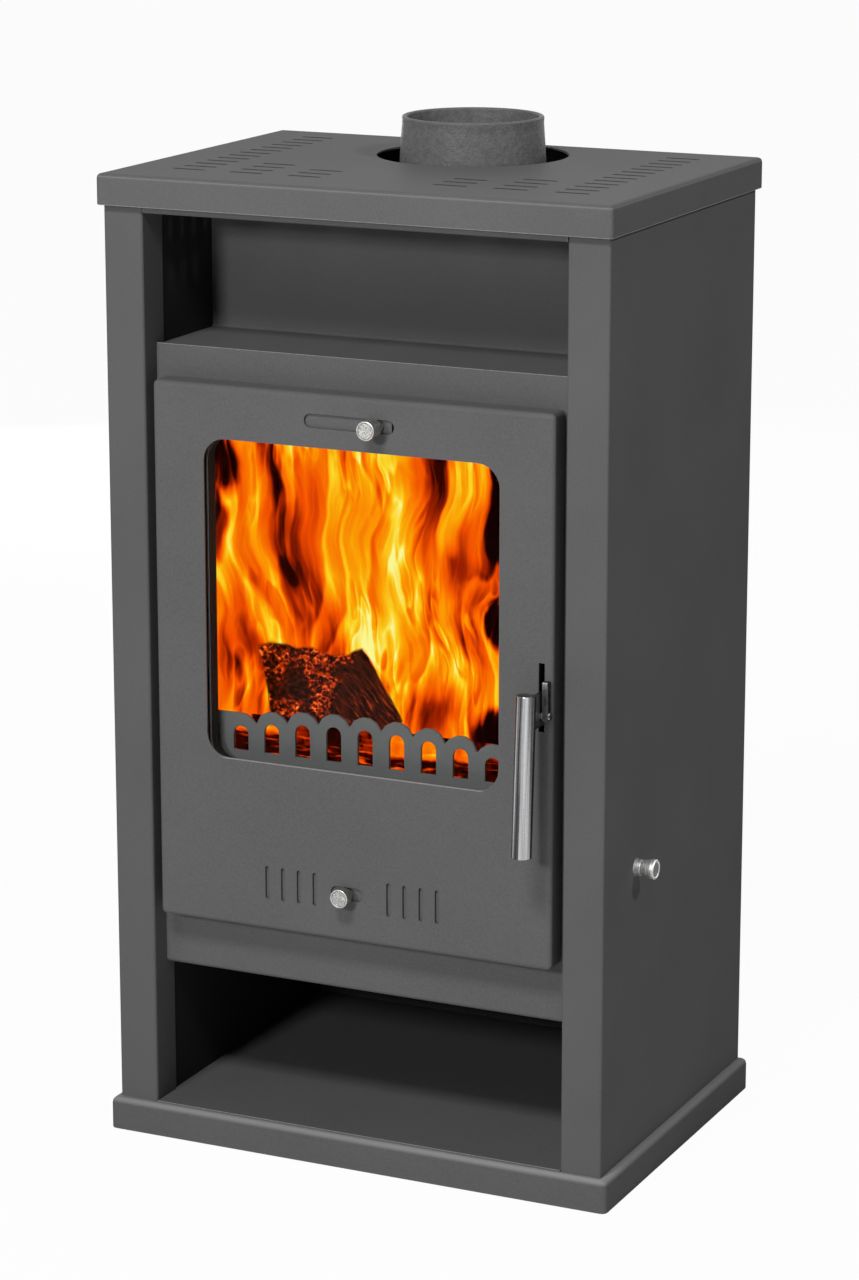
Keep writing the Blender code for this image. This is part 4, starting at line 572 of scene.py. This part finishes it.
def dressCasing(paints):
    folded = (  # with painted highlights on the folds: paint, softened width, whether the widths may overlap, nodes
        ("grey", 0.0004, False, "back_panel top_front_rail firebox_front niche_back bay_floor door_liner"
                                " upper_air_slider lower_air_slider"),
        ("door", 0.0007, False, "door_panel"),
        ("lid", 0.0007, True, "top_plate"),
        ("base", 0.0006, True, "base_plate"),
        ("side", 0.0006, True, "side_panel_left side_panel_right"))
    plain = (  # paint, softened width, nodes
        ("guard", 0.0003, "log_guard"),
        ("grey", 0.0003, "hinge_ear_upper hinge_ear_lower hinge_lug_upper hinge_lug_lower"),
        # painted shade: these sit in the shade and take the near-black paint
        ("dark", 0.0003, "inner_wall_left inner_wall_right base_stiffener bay_ceiling"),
        ("black", 0.0003, "firebox_wrap firebox_floor smoke_box firebox_support_left firebox_support_right"
                          " hearth_rail_left hearth_rail_right ash_pan firebox_top"),
        ("cast", 0.0006, "hearth_plate grate grate_lug"),
        ("brick", 0.0008, "side_brick_left side_brick_right back_brick_left back_brick_right baffle_plate"),
        ("zinc", 0, "riddling_rod ash_pan_bail hinge_pin_upper hinge_pin_lower handle_pin"),
        ("zinc", 0.0003, "upper_slider_guide lower_slider_guide latch_keeper"),
        ("lever", 0.0004, "handle_lever handle_ear"),
        ("rope", 0.0004, "glass_seal"),
        ("rope", 0, "door_rope"),
        ("glass", 0.0006, "door_glass"))
    for coat, edge, overlap, names in folded:
        for name in names.split():
            dress(name, paints[coat], edge, paints["paintedEdgeLight"], not overlap)
    for coat, edge, names in plain:
        for name in names.split():
            dress(name, paints[coat], edge)
    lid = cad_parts["top_plate"].data  # its four folded skirts take a paler copy of the paint without sheen: painted light that sets their tone apart from the top
    lid.materials.append(paints["skirt"].material)
    for face in lid.polygons:
        face.material_index = 2 if abs(face.normal.z) < 0.5 else 0


def flueCollar(paints):
    spec = {"rim": 0.0603, "wall": 0.0045, "foot": 0.0632, "flange": 0.0664, "spigot": 0.0583, "steps": 120,
            "seat": 0.012, "shoulder": 0.010, "lip": 0.42, "bulge": 0.0006, "thinner": 0.0004,
            "inside": 12, "over": 8, "outside": 16, "lumps": ((140, 0.00022), (420, 0.00010)),
            "sunk": 0.00025, "roughFrom": 0.008, "smoothTop": 0.0035}
    low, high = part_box("flue_collar")
    centre = middleOf("flue_collar")
    seat = low.z + spec["seat"]
    bore = spec["rim"] - spec["wall"]
    lip = spec["wall"] * spec["lip"]
    brow = high.z - lip
    half = spec["wall"] / 2
    profile = [(bore, low.z), (bore, seat)]
    profile += [(bore, seat + (brow - seat) * step / spec["inside"]) for step in range(1, spec["inside"] + 1)]
    profile += rounded(spec["rim"] - half, brow, half, lip, spec["over"], 180)
    shoulder = seat + spec["shoulder"]
    for step in range(1, spec["outside"] + 1):
        share = step / spec["outside"]
        bulge = spec["bulge"] * math.sin(math.pi * share)
        profile.append((spec["rim"] + (spec["foot"] - spec["rim"]) * share + bulge - spec["thinner"],
                        brow + (shoulder - brow) * share))
    profile += offset([(spec["foot"], 1.4, seat, 6.2), (spec["flange"], -1.0, seat, 6.0),
                       (spec["flange"], 0, seat, 5.0), (spec["flange"], 0, seat, 0),
                       (spec["spigot"], 0, seat, 0), (spec["spigot"], 0, low.z, 0), (bore, 0, low.z, 0)])
    collar = lathe("cast_flue_collar", profile, Vector((centre.x, centre.y, 0)), upright,
                   paints["cast"], "stove", spec["steps"])
    for corner in collar.data.vertices:
        flat = Vector((corner.co.x - centre.x, corner.co.y - centre.y, 0))
        if flat.length > 1e-4 and seat + spec["roughFrom"] < corner.co.z < high.z - spec["smoothTop"]:
            lump = sum(noise.noise(corner.co * scale) * depth for scale, depth in spec["lumps"])
            corner.co += flat.normalized() * (lump - spec["sunk"])
    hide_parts("flue_collar")


def airKnob(name, paints):
    # a turned knob: a raised ring round a granular sunk middle
    spec = {"ring": 0.0013, "sunk": 0.0009, "neck": 0.0066, "bolt": 0.0030, "gritRings": 9,
            "head": {"upper_air": 0.0173, "lower_air": 0.0113}, "crumb": (1300, 0.00022)}
    low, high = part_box(name + "_knob")
    centre = middleOf(name + "_knob")
    radius = (high.x - low.x) / 2
    face = high.y - low.y
    skirt = face - spec["head"][name]
    inner = radius - spec["ring"]
    sunk = face - spec["sunk"]
    neck, bolt = spec["neck"], spec["bolt"]
    profile = offset([(0, 0, sunk, 0), (inner, -0.4, sunk, 0), (inner, 0, face, -0.2), (inner, 0.2, face, 0),
                      (radius, -0.6, face, 0), (radius, -0.2, face, -0.2), (radius, 0, face, -0.7),
                      (radius, 0, skirt, 3.0), (radius, -0.3, skirt, 2.4), (neck, 0, skirt, 1.6),
                      (neck, 0, skirt, 0.4), (neck, -0.6, skirt, 0), (bolt, 0, skirt, 0), (bolt, 0, 0, 0),
                      (0, 0, 0, 0)])
    origin = Vector((centre.x, high.y, centre.z))
    knob = lathe(name + "_turned_knob", profile, origin, toFront, paints["zinc"], name)
    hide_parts(name + "_knob")
    grit = offset([(0, 0, sunk, 0.4)] + [((inner - 0.0005) * step / spec["gritRings"], 0, sunk, 0.35)
                                         for step in range(1, spec["gritRings"] + 1)])
    middle = lathe(name + "_knob_face", grit, origin, toFront, paints["grit"], name, 48)
    scale, depth = spec["crumb"]
    for corner in middle.data.vertices:
        corner.co.y -= depth * noise.noise(corner.co * scale)


def hexNut(name, paints):
    spec = {"levels": ((0.93, 0.0), (1.0, 0.10), (1.0, 0.90), (0.93, 1.0)), "bore": 0.0031, "steps": 24}
    low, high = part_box(name + "_nut")
    centre = middleOf(name + "_nut")
    steps = spec["steps"]
    height = high.y - low.y
    corner = (high.z - low.z) / 2 / math.cos(math.pi / 6)
    shape = bmesh.new()
    rings = [ringOf(shape, corner * share, height * level, 6) for share, level in spec["levels"]]
    bore = [ringOf(shape, spec["bore"], height * level, steps) for level in (0, 1)]
    skin(shape, rings)
    for ring, hole in ((rings[0], bore[0]), (rings[-1], bore[1])):
        for side in range(6):
            arc = [hole[(side * steps // 6 + step) % steps] for step in range(steps // 6 + 1)]
            shape.faces.new([ring[side], ring[(side + 1) % 6], *reversed(arc)])
    skin(shape, bore)
    stand(shape, Vector((centre.x, high.y, centre.z)), toFront)
    nut = addPiece(name + "_hex_nut", shape, paints["zinc"], name)
    evenShade(nut, 25)
    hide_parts(name + "_nut")


def riddlingKnob(paints):
    spec = {"neck": 0.00665, "head": 0.0112, "edge": 0.0034, "flare": 6, "swell": 0.75, "groove": 0.0012,
            "faceDepth": 0.0015}
    low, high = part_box("riddling_knob")
    centre = middleOf("riddling_knob")
    end = high.x - low.x
    wide = (high.y - low.y) / 2
    neck = spec["neck"]
    flare = end - spec["head"]
    brow = end - spec["edge"]
    groove = flare - spec["groove"]
    profile = offset([(0, 0, end, -0.6), (wide, -2.2, end, -0.6), (wide, -1.8, end, -0.2),
                      (wide, -1.4, end, 0), (wide, -0.6, end, 0), (wide, -0.1, end, -0.5),
                      (wide, 0, end, -1.2), (wide, 0, brow, 0)])
    for step in range(1, spec["flare"] + 1):
        share = step / spec["flare"]
        profile.append((wide + (neck - wide) * share ** spec["swell"], brow + (flare - brow) * share))
    profile += offset([(neck, 0, groove, 0.8), (neck, -0.3, groove, 0.4), (neck, -0.3, groove, -0.4),
                       (neck, 0, groove, -0.8), (neck, 0, 0, 0.6), (neck, -0.6, 0, 0), (0, 0, 0, 0)])
    knob = lathe("turned_riddling_knob", profile, Vector((low.x, centre.y, centre.z)), toRight,
                 paints["turned"], "riddle", 72)
    knob.data.materials.append(paints["dullGrit"].material)
    for face in knob.data.polygons:
        if face.center.x > high.x - spec["faceDepth"] and abs(face.normal.x) > 0.9:
            face.material_index = 1
    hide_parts("riddling_knob")


def handleGrip(paints):
    # round bar, capped at both ends, standing off the door at a slight lean
    spec = {"lean": 3.4, "cap": 0.0009, "step": 0.0001, "disc": (0.55, 0.60), "steps": 96}
    low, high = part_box("handle_tube")
    lean = math.radians(spec["lean"])
    radius = (high.x - low.x) / 2
    half = (high.z - low.z - 2 * radius * math.sin(lean)) / math.cos(lean) / 2
    cap = spec["cap"]
    inner, outer = spec["disc"]
    brow = half - spec["step"]
    end = [(0, half), (radius * inner, half), (radius * outer, brow), (radius - cap * 1.2, brow)]
    end += rounded(radius - cap, half - cap, cap, cap, 5)
    profile = end + [(width, -level) for width, level in reversed(end)]
    grip = lathe("round_handle_grip", profile, middleOf("handle_tube"), Matrix.Rotation(-lean, 4, "X"),
                 paints["chrome"], "handle", spec["steps"])
    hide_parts("handle_tube")


def windowLip(paints):
    # the stack of thin edges round the window: glass frame, packing and liner
    spec = {"front": 0.0006, "rear": 0.0004, "out": 0.0007, "in": 0.0001, "ribs": 4, "radius": 0.0195,
            "steps": 10, "side": 0.1335, "sill": 0.0024, "head": 0.009}
    low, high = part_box("glass_seal")
    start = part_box("door_glass")[1].y + spec["front"]
    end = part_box("door_panel")[1].y - spec["rear"]
    shallow = spec["out"] * 0.8
    levels = [(start, spec["out"])]
    depth = (end - start) / spec["ribs"]
    for rib in range(spec["ribs"]):
        at = start + depth * rib
        levels += [(at, spec["in"]), (at + depth * 0.70, spec["in"]), (at + depth * 0.74, shallow),
                   (at + depth * 0.96, shallow)]
    levels += [(end, spec["in"]), (end, spec["out"])]
    shape = bmesh.new()
    rings = []
    side = spec["side"] - spec["radius"]
    top = high.z - spec["head"] - spec["radius"]
    bottom = low.z + spec["sill"] + spec["radius"]
    for y, margin in levels:
        ring = []
        radius = spec["radius"] + margin
        for turn, (x, z) in enumerate(((side, top), (-side, top), (-side, bottom), (side, bottom))):
            for step in range(spec["steps"] + 1):
                angle = math.radians(90 * (turn + step / spec["steps"]))
                ring.append(shape.verts.new((x + radius * math.cos(angle), y, z + radius * math.sin(angle))))
        rings.append(ring)
    skin(shape, rings + rings[:1])
    # the lip takes the near-black paint: partly its dark packing, partly painted shade in the window's reveal
    evenShade(addPiece("window_frame_lip", stand(shape), paints["dark"], "door"))


def backScrews(paints):
    # pan heads with a cross pressed into them, in four rows
    spec = {"radius": 0.0038, "height": 0.0022, "arcs": 8, "steps": 24, "arm": 0.0005, "reach": 0.6,
            "cross": 0.0009, "inset": 0.009, "margin": 0.02, "rows": 4, "lift": 0.00005}
    low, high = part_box("back_panel")
    angles = [math.radians(90 * step / spec["arcs"]) for step in range(spec["arcs"] + 1)]
    for row in range(spec["rows"]):
        level = low.z + spec["margin"] + row * (high.z - low.z - 2 * spec["margin"]) / (spec["rows"] - 1)
        for side, x in (("left", low.x + spec["inset"]), ("right", high.x - spec["inset"])):
            shape = bmesh.new()
            rings = [ringOf(shape, spec["radius"] * math.sin(angle), spec["height"] * math.cos(angle),
                            spec["steps"]) for angle in angles]
            skin(shape, rings)
            shape.faces.new(rings[-1])
            for corner in shape.verts:
                arm = min(abs(corner.co.x), abs(corner.co.y))
                reach = math.hypot(corner.co.x, corner.co.y)
                if arm < spec["arm"] and reach < spec["radius"] * spec["reach"]:
                    corner.co.z -= spec["cross"]
            stand(shape, Vector((x, high.y + spec["lift"], level)), toBack)
            addPiece(f"back_screw_{side}_{row}", shape, paints["zinc"], "stove")


# Fire

def sidePoints(corners, perSide):
    # evenly spread points along each side of an outline
    return [corner.lerp(after, step / perSide)
            for corner, after in zip(corners, corners[1:] + corners[:1]) for step in range(perSide)]


def logShape(spec):
    # a round log: its outline is lofted along the log, roughened and closed by rough ends
    rng = random.Random(spec["seed"])
    around = sidePoints(spec["outline"], spec["perSide"])
    start, end = Vector(spec["start"]), Vector(spec["end"])
    length = (end - start).normalized()
    sideways = length.cross(Vector((0, 0, 1))).normalized()
    up = sideways.cross(length)
    shift = Vector((rng.random() * 9, rng.random() * 9, rng.random() * 9))
    shape = bmesh.new()
    rings = []
    count, caps = spec["rings"], 7
    stations = [(0.0, step / caps) for step in range(caps)]
    stations += [(step / count, 1.0) for step in range(count + 1)]
    stations += [(1.0, 1 - step / caps) for step in range(1, caps + 1)]
    for share, width in stations:
        centre = start.lerp(end, share)
        ring = []
        for point in around if width else ():
            arm = sideways * point.x + up * point.y
            spot = centre + arm * width
            lump = noise.noise(spot * 38 + shift) + noise.noise(spot * 150 + shift) * 0.45
            if width == 1.0:
                spot = spot + arm.normalized() * lump * spec["rough"]
            if share in (0.0, 1.0):
                spot = spot + length * lump * spec["rough"] * 0.9
            ring.append(shape.verts.new(spot))
        rings.append(ring or [shape.verts.new(centre)])
    skin(shape, rings)
    return stand(shape)


def roundOutline(radiusX, radiusZ, count=7):
    return [Vector((radiusX * math.cos(math.tau * step / count), radiusZ * math.sin(math.tau * step / count)))
            for step in range(count)]


def splitLog(spec):
    # lofted from one end's corners to the other's, split and roughened
    near, far = ([Vector(corner) / 1000 for corner in spec[end]] for end in ("near", "far"))
    rings, caps = spec["rings"], spec["caps"]
    length = (sum(near, Vector()) - sum(far, Vector())).normalized()

    def ringAt(share, width):
        outline = [a.lerp(b, share) for a, b in zip(far, near)]
        centre = sum(outline, Vector()) / len(outline)
        points = []
        for spot in sidePoints(outline, spec["perSide"]):
            lump = sum(noise.noise(spot * scale) * gain for scale, gain in spec["lumps"])
            outward = (spot - centre).normalized() * spec["rough"] * lump
            spot = centre + (spot - centre) * width + outward * width
            if share in (0, 1):
                spot = spot + length * noise.noise(spot * 190) * spec["rough"] * 0.5
            points.append(spot)
        return points

    stations = [(0, (step + 1) / (caps + 1)) for step in range(caps)]
    stations += [(step / rings, 1) for step in range(rings + 1)]
    stations += [(1, 1 - (step + 1) / (caps + 1)) for step in range(caps)]
    shape = bmesh.new()
    loops = [[shape.verts.new(point) for point in ringAt(*station)] for station in stations]
    skin(shape, loops)
    shape.faces.new(loops[0])
    shape.faces.new(loops[-1])
    return stand(shape)


def burningLogs(paints):
    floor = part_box("hearth_plate")[1].z
    wedge = {"near": [(-22, -96, 437), (4, -70, 372), (0, -70, 336), (-74, -108, 336)],
             "far": [(-127, -84, 431), (-118, -42, 388), (-118, -42, 336), (-104, -88, 336)],
             "perSide": 26, "rings": 80, "caps": 8, "rough": 0.0042,
             "lumps": ((45, 0.6), (160, 0.35), (420, 0.15))}
    log = addPiece("split_log", splitLog(wedge), paints["bark"], "stove")
    log.data.materials.append(paints["endGrain"].material)
    endFaces = wedge["caps"] * len(wedge["near"]) * wedge["perSide"] + 2  # with the two flat ends
    for face in log.data.polygons[-endFaces:]:
        face.material_index = 1
    logs = {
        "right_log": {"start": (0.130, -0.100, floor + 0.056), "end": (0.022, -0.040, floor + 0.075),
                      "outline": roundOutline(0.021, 0.019), "rings": 70, "rough": 0.004, "seed": 5},
        "low_log": {"start": (0.132, -0.060, floor + 0.092), "end": (0.050, -0.010, floor + 0.070),
                    "outline": roundOutline(0.018, 0.017), "rings": 50, "rough": 0.004, "seed": 7},
        "back_log": {"start": (-0.120, 0.060, floor + 0.040), "end": (0.125, 0.050, floor + 0.045),
                     "outline": roundOutline(0.034, 0.032), "rings": 50, "rough": 0.003, "seed": 9}}
    for index in range(4):  # thin sticks behind the guard, each higher and further back
        level = floor + 0.022 + 0.011 * index
        depth = -0.121 + 0.017 * index
        logs[f"charred_stick_{index}"] = {
            "start": (-0.131, depth + 0.004, level + 0.002), "end": (0.131, depth, level),
            "outline": roundOutline(0.0060, 0.0045, 6), "perSide": 4, "rings": 90, "rough": 0.0016,
            "seed": 20 + index}
    for name, spec in logs.items():
        addPiece(name, logShape({"perSide": 8, **spec}), paints["wood"], "stove")


def emberBed(paints):
    # a bank of embers and charred sticks that climbs towards the back
    spec = {"left": -0.132, "right": 0.132, "front": -0.129, "back": 0.108, "across": 110, "deep": 110,
            "above": 0.0005, "bank": 0.012, "climb": 0.034, "slope": 0.09, "heaps": (22, 0.008),
            "sticks": (45, 110, 0.007), "rim": 5}
    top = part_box("hearth_plate")[1].z + spec["above"]

    def place(column, row):
        x = spec["left"] + (spec["right"] - spec["left"]) * column / spec["across"]
        y = spec["front"] + (spec["back"] - spec["front"]) * row / spec["deep"]
        scale, gain = spec["heaps"]
        bank = spec["bank"] + spec["climb"] * min(1.0, (y - spec["front"]) / spec["slope"])
        heap = bank + gain * noise.noise(Vector((x, y, 0)) * scale)
        acrossScale, deepScale, gain = spec["sticks"]
        lump = gain * abs(noise.noise(Vector((x * acrossScale, y * deepScale, 7))))
        edge = min(column, spec["across"] - column, row, spec["deep"] - row)
        return x, y, top + (heap + lump) * min(1.0, edge / spec["rim"])

    addPiece("ember_bed", sheetOf(spec["across"], spec["deep"], place), paints["ember"], "stove")


def flameSheet(name, spec, paint):
    # a swaying curtain from side to side of the chamber
    def place(column, row):
        share, rise = column / spec["columns"], row / spec["rows"]
        x = spec["side"] * (2 * share - 1)
        z = spec["low"] + (spec["high"] - spec["low"]) * rise
        wave = spec["wave"] * math.sin(share * 9.5 + rise * 4.0 + spec["turn"]) * math.sin(math.pi * share)
        return x, spec["depth"] + spec["bow"] * math.sin(math.pi * share) + wave, z

    addPiece(name, sheetOf(spec["columns"], spec["rows"], place), paint, "stove")


def fire(paints):
    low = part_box("log_guard")[1].z - 0.012
    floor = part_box("hearth_plate")[1].z
    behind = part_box("log_guard")[1].y + 0.0035
    stops = ((0.0, (0.004, 0.0, 0.0)), (0.12, (0.035, 0.001, 0.0)), (0.26, (0.38, 0.016, 0.0)),
             (0.40, (0.90, 0.075, 0.0)), (0.56, (1.0, 0.19, 0.0)), (0.72, (1.0, 0.40, 0.001)),
             (0.86, (1.0, 0.70, 0.02)), (1.0, (1.0, 0.95, 0.30)))
    # blots are (x, z, half width, half height)
    hot = ((0.010, 0.58, 0.030, 0.10), (-0.005, 0.50, 0.045, 0.07), (0.055, 0.43, 0.05, 0.04))
    cold = ((-0.138, 0.590, 0.030, 0.035), (-0.136, 0.540, 0.016, 0.030), (0.120, 0.590, 0.022, 0.034),
            (0.126, 0.486, 0.016, 0.044), (0.120, 0.380, 0.030, 0.018))
    front = {"seed": 2.0, "sway": 0.080, "curl": 0.018, "contrast": 1.9, "warmth": 0.29, "hot": hot,
             "cold": cold, "stops": stops, "parted": True}
    rear = dict(front, seed=11.0, parted=False, warmth=0.16, hot=(), cold=())
    # spots are (x of a hole in the guard, where the glow starts, its gain)
    glow = {"low": floor + 0.052, "height": 0.031, "stops": stops,
            "spots": ((-0.1175, 0.46, 0.36), (-0.0885, 0.52, 0.52), (-0.0595, 0.30, 0.14),
                      (-0.0015, 0.22, 0.12), (0.0275, 0.24, 0.46), (0.0565, 0.24, 0.50),
                      (0.0855, 0.36, 0.40), (0.1145, 0.50, 0.16))}
    sheetFront = {"side": 0.149, "low": low, "high": 0.655, "depth": -0.1338, "bow": 0.012, "wave": 0.004,
                  "turn": 0.4, "rows": 40, "columns": 48}
    sheetRear = {"side": 0.1355, "low": low - 0.035, "high": 0.588, "depth": -0.036, "bow": 0.020,
                 "wave": 0.006, "turn": 2.1, "rows": 30, "columns": 40}
    sheetLow = {"side": 0.1355, "low": glow["low"] - 0.004, "high": low + 0.002, "depth": behind, "bow": 0.0,
                "wave": 0.0, "turn": 0.0, "rows": 4, "columns": 20}
    flameSheet("front_flames", sheetFront, flamePaint("front_flame", front))
    flameSheet("rear_flames", sheetRear, flamePaint("rear_flame", rear))
    flameSheet("low_flames", sheetLow, emberGlow(glow))
    emberBed(paints)
    burningLogs(paints)


# Stage, light and camera

def stage():
    spec = {"size": 14.0, "whiteness": 0.96, "drop": 0.0002, "roughness": 0.9, "low": (0.86, 0.86, 0.86),
            "high": (0.89, 0.89, 0.89), "cloud": 3.0}
    shape = bmesh.new()
    bmesh.ops.create_grid(shape, x_segments=1, y_segments=1, size=spec["size"])
    mesh = bpy.data.meshes.new("studio_floor")
    shape.to_mesh(mesh)
    shape.free()
    floor = bpy.data.objects.new("studio_floor", mesh)
    floor.location.z = cadBox[0].z - spec["drop"]
    bpy.context.scene.collection.objects.link(floor)
    paint = Paint("pale_floor", "grey_paint", spec)
    paint.tint(paint.grain(spec["cloud"]), spec)
    white = paint.add("Emission", None, {"Color": (1.0, 1.0, 1.0, 1.0), "Strength": 1.0})
    lit = Wire(paint, paint.shader.outputs[0])
    share = paint.seenDirectly() * spec["whiteness"]
    paint.finishWith(paint.add("MixShader", None, {0: share, 1: lit, 2: white}))
    floor.data.materials.append(paint.material)


def lights():
    spec = {"ambient": 0.045, "aim": (0, 0, 0.45)}
    lamps = {"key_softbox": {"place": (-0.4, -3.35, 1.6), "size": (0.36, 0.36), "power": 40.0},
             "side_softbox": {"place": (1.9, -0.15, 2.2), "size": (0.16, 0.16), "power": 16.0},
             "overhead_softbox": {"place": (0.15, -2.0, 2.6), "size": (0.8, 0.5), "power": 38.0},
             "back_softbox": {"place": (-1.7, 2.7, 0.48), "size": (1.0, 0.6), "power": 22.0}}
    for name, lampSpec in lamps.items():
        lamp = bpy.data.lights.new(name, "AREA")
        lamp.shape = "RECTANGLE"
        lamp.size, lamp.size_y = lampSpec["size"]
        lamp.energy = lampSpec["power"]
        item = bpy.data.objects.new(name, lamp)
        item.location = lampSpec["place"]
        towards = Vector(spec["aim"]) - item.location
        item.rotation_euler = towards.to_track_quat("-Z", "Y").to_euler()
        item.visible_camera = False
        bpy.context.scene.collection.objects.link(item)
    world = bpy.data.worlds.new("studio_air")
    bpy.context.scene.world = world
    world.use_nodes = True
    air = NodeBench(world.node_tree)
    sky = world.node_tree.nodes["Background"]
    sky.inputs["Color"].default_value = (1.0, 1.0, 1.0, 1.0)
    air.plug(sky.inputs["Strength"], air.seenDirectly() * (1.0 - spec["ambient"]) + spec["ambient"])
    bpy.context.scene.view_settings.view_transform = "Standard"


def camera():
    spec = {"lens": 110.93, "yaw": 25.19, "pitch": 14.18, "place": (1.3869, -2.9583, 1.2492),
            "clip": (0.05, 60)}
    lens = bpy.data.cameras.new("photo_camera")
    lens.lens = spec["lens"]
    lens.clip_start, lens.clip_end = spec["clip"]
    item = bpy.data.objects.new("photo_camera", lens)
    item.location = spec["place"]
    item.rotation_euler = (math.radians(90 - spec["pitch"]), 0, math.radians(spec["yaw"]))
    bpy.context.scene.collection.objects.link(item)
    bpy.context.scene.camera = item


def makePaints():
    # painted highlights: paler bands along the top folds of the base and the lid
    baseFoldHighlight = {"node": "base_plate", "deep": 0.0048, "share": 0.8, "highlightTone": (0.36, 0.36, 0.362)}
    lidFoldHighlight = {"node": "top_plate", "deep": 0.0040, "share": 0.8, "highlightTone": (0.34, 0.34, 0.342)}
    # painted highlight: a pale line along the door window's lower edge
    doorSillHighlight = {"rise": 0.009, "deep": 0.0007, "half": 0.122, "fade": 0.008, "share": 0.65,
               "highlightTone": (0.42, 0.42, 0.422)}
    black = {"low": (0.018, 0.016, 0.015), "high": (0.060, 0.054, 0.050), "roughness": 0.62, "metallic": 0.25,
             "pattern": (22, 5.0, 0.6), "band": (0.3, 0.75), "vary": 0.3, "smoother": 0.17,
             "skin": (260, 3.0), "bump": (0.0002, 0.4)}
    zinc = {"low": (0.40, 0.395, 0.385), "high": (0.66, 0.655, 0.64), "roughness": 0.30,
            "pattern": (420, 3.0, 0.6), "vary": 0.22, "skin": (1600, 2.0), "bump": (0.0001, 0.3)}
    lever = {"low": (0.13, 0.13, 0.13), "high": (0.26, 0.26, 0.26), "roughness": 0.34,
             "pattern": (240, 3.0, 0.6), "vary": 0.2}
    turned = {"low": (0.46, 0.455, 0.44), "high": (0.86, 0.855, 0.84), "roughness": 0.50,
              "pattern": (1600, 2.0, 0.6), "stretch": (1.0, 0.08, 0.08), "band": (0.36, 0.66), "vary": 0.2,
              "bump": (0.00006, 0.4)}  # fine rings round the lathe's axis
    grit = {"low": (0.24, 0.235, 0.225), "high": (0.62, 0.615, 0.60), "pattern": (950, 4.0, 0.7),
            "band": (0.38, 0.66), "bump": (0.0006, 0.8)}  # the granular sunk middle of the knobs
    dullGrit = {**grit, "low": (0.04, 0.04, 0.04), "high": (0.20, 0.20, 0.20)}
    wood = {"stretch": (1.0, 3.0, 3.0), "scale": 130, "cold": 0.40, "glow": 1.0}
    bark = {"stretch": (1.0, 1.0, 1.3), "scale": 230, "cold": 0.36, "glow": 1.25}
    ember = {"stretch": (1.0, 5.0, 5.0), "scale": 60, "cold": 0.30, "glow": 1.7}
    return {
        "grey": greyPaint("grey_stove_paint"),
        # painted light: the guard is paler and a touch cooler than the grey paint, to lift it behind the pane
        "guard": greyPaint("guard_paint_painted_light", low=(0.130, 0.136, 0.138), high=(0.178, 0.185, 0.187)),
        "paintedEdgeLight": edgeHighlightSlotShadePaint(),
        # copies of the grey paint with less or no sheen, the lid's skirts also paler, so sides, skirts and
        # the lid's top render at set tones: painted light and shade
        "side": greyPaint("side_paint_painted_shade", sheen=0.0),
        "base": greyPaint("base_paint_painted_light", sheen=0.0, crest=baseFoldHighlight),
        "skirt": greyPaint("lid_skirt_paint_painted_light", low=(0.108, 0.108, 0.110), high=(0.166, 0.166, 0.168), sheen=0.0,
                           crest=lidFoldHighlight),
        "lid": greyPaint("lid_top_paint", sheen=0.03),
        "door": greyPaint("door_sheet_paint", lip=doorSillHighlight),
        "dark": nearBlackShadePaint(),
        "cast": castIron(),
        "black": metal("heat_black_steel", "black_steel", black),
        "zinc": metal("zinc_plated_steel", "zinc_steel", zinc),
        "lever": metal("lever_steel", "chrome", lever),
        "turned": metal("turned_zinc", "zinc_steel", turned),
        "grit": metal("zinc_knob_face", "zinc_steel", grit),
        "dullGrit": metal("dull_knob_face", "zinc_steel", dullGrit),
        "chrome": chromePaintedReflections(),
        "brick": firebrick(),
        "rope": wovenRope(),
        "glass": stoveGlass(),
        "wood": charredWood("charred_wood", wood),
        "bark": charredWood("charred_bark", bark),
        "endGrain": endGrain(),
        "ember": charredWood("embers", ember)}


def makeAll():
    paints = makePaints()
    print("stage: finishes made")
    camera()
    stage()
    lights()
    dressCasing(paints)
    print("stage: casing dressed")
    flueCollar(paints)
    for name in ("upper_air", "lower_air"):
        airKnob(name, paints)
        hexNut(name, paints)
    riddlingKnob(paints)
    handleGrip(paints)
    windowLip(paints)
    backScrews(paints)
    print("stage: fittings made")
    fire(paints)
    print("stage: fire laid")


makeAll()
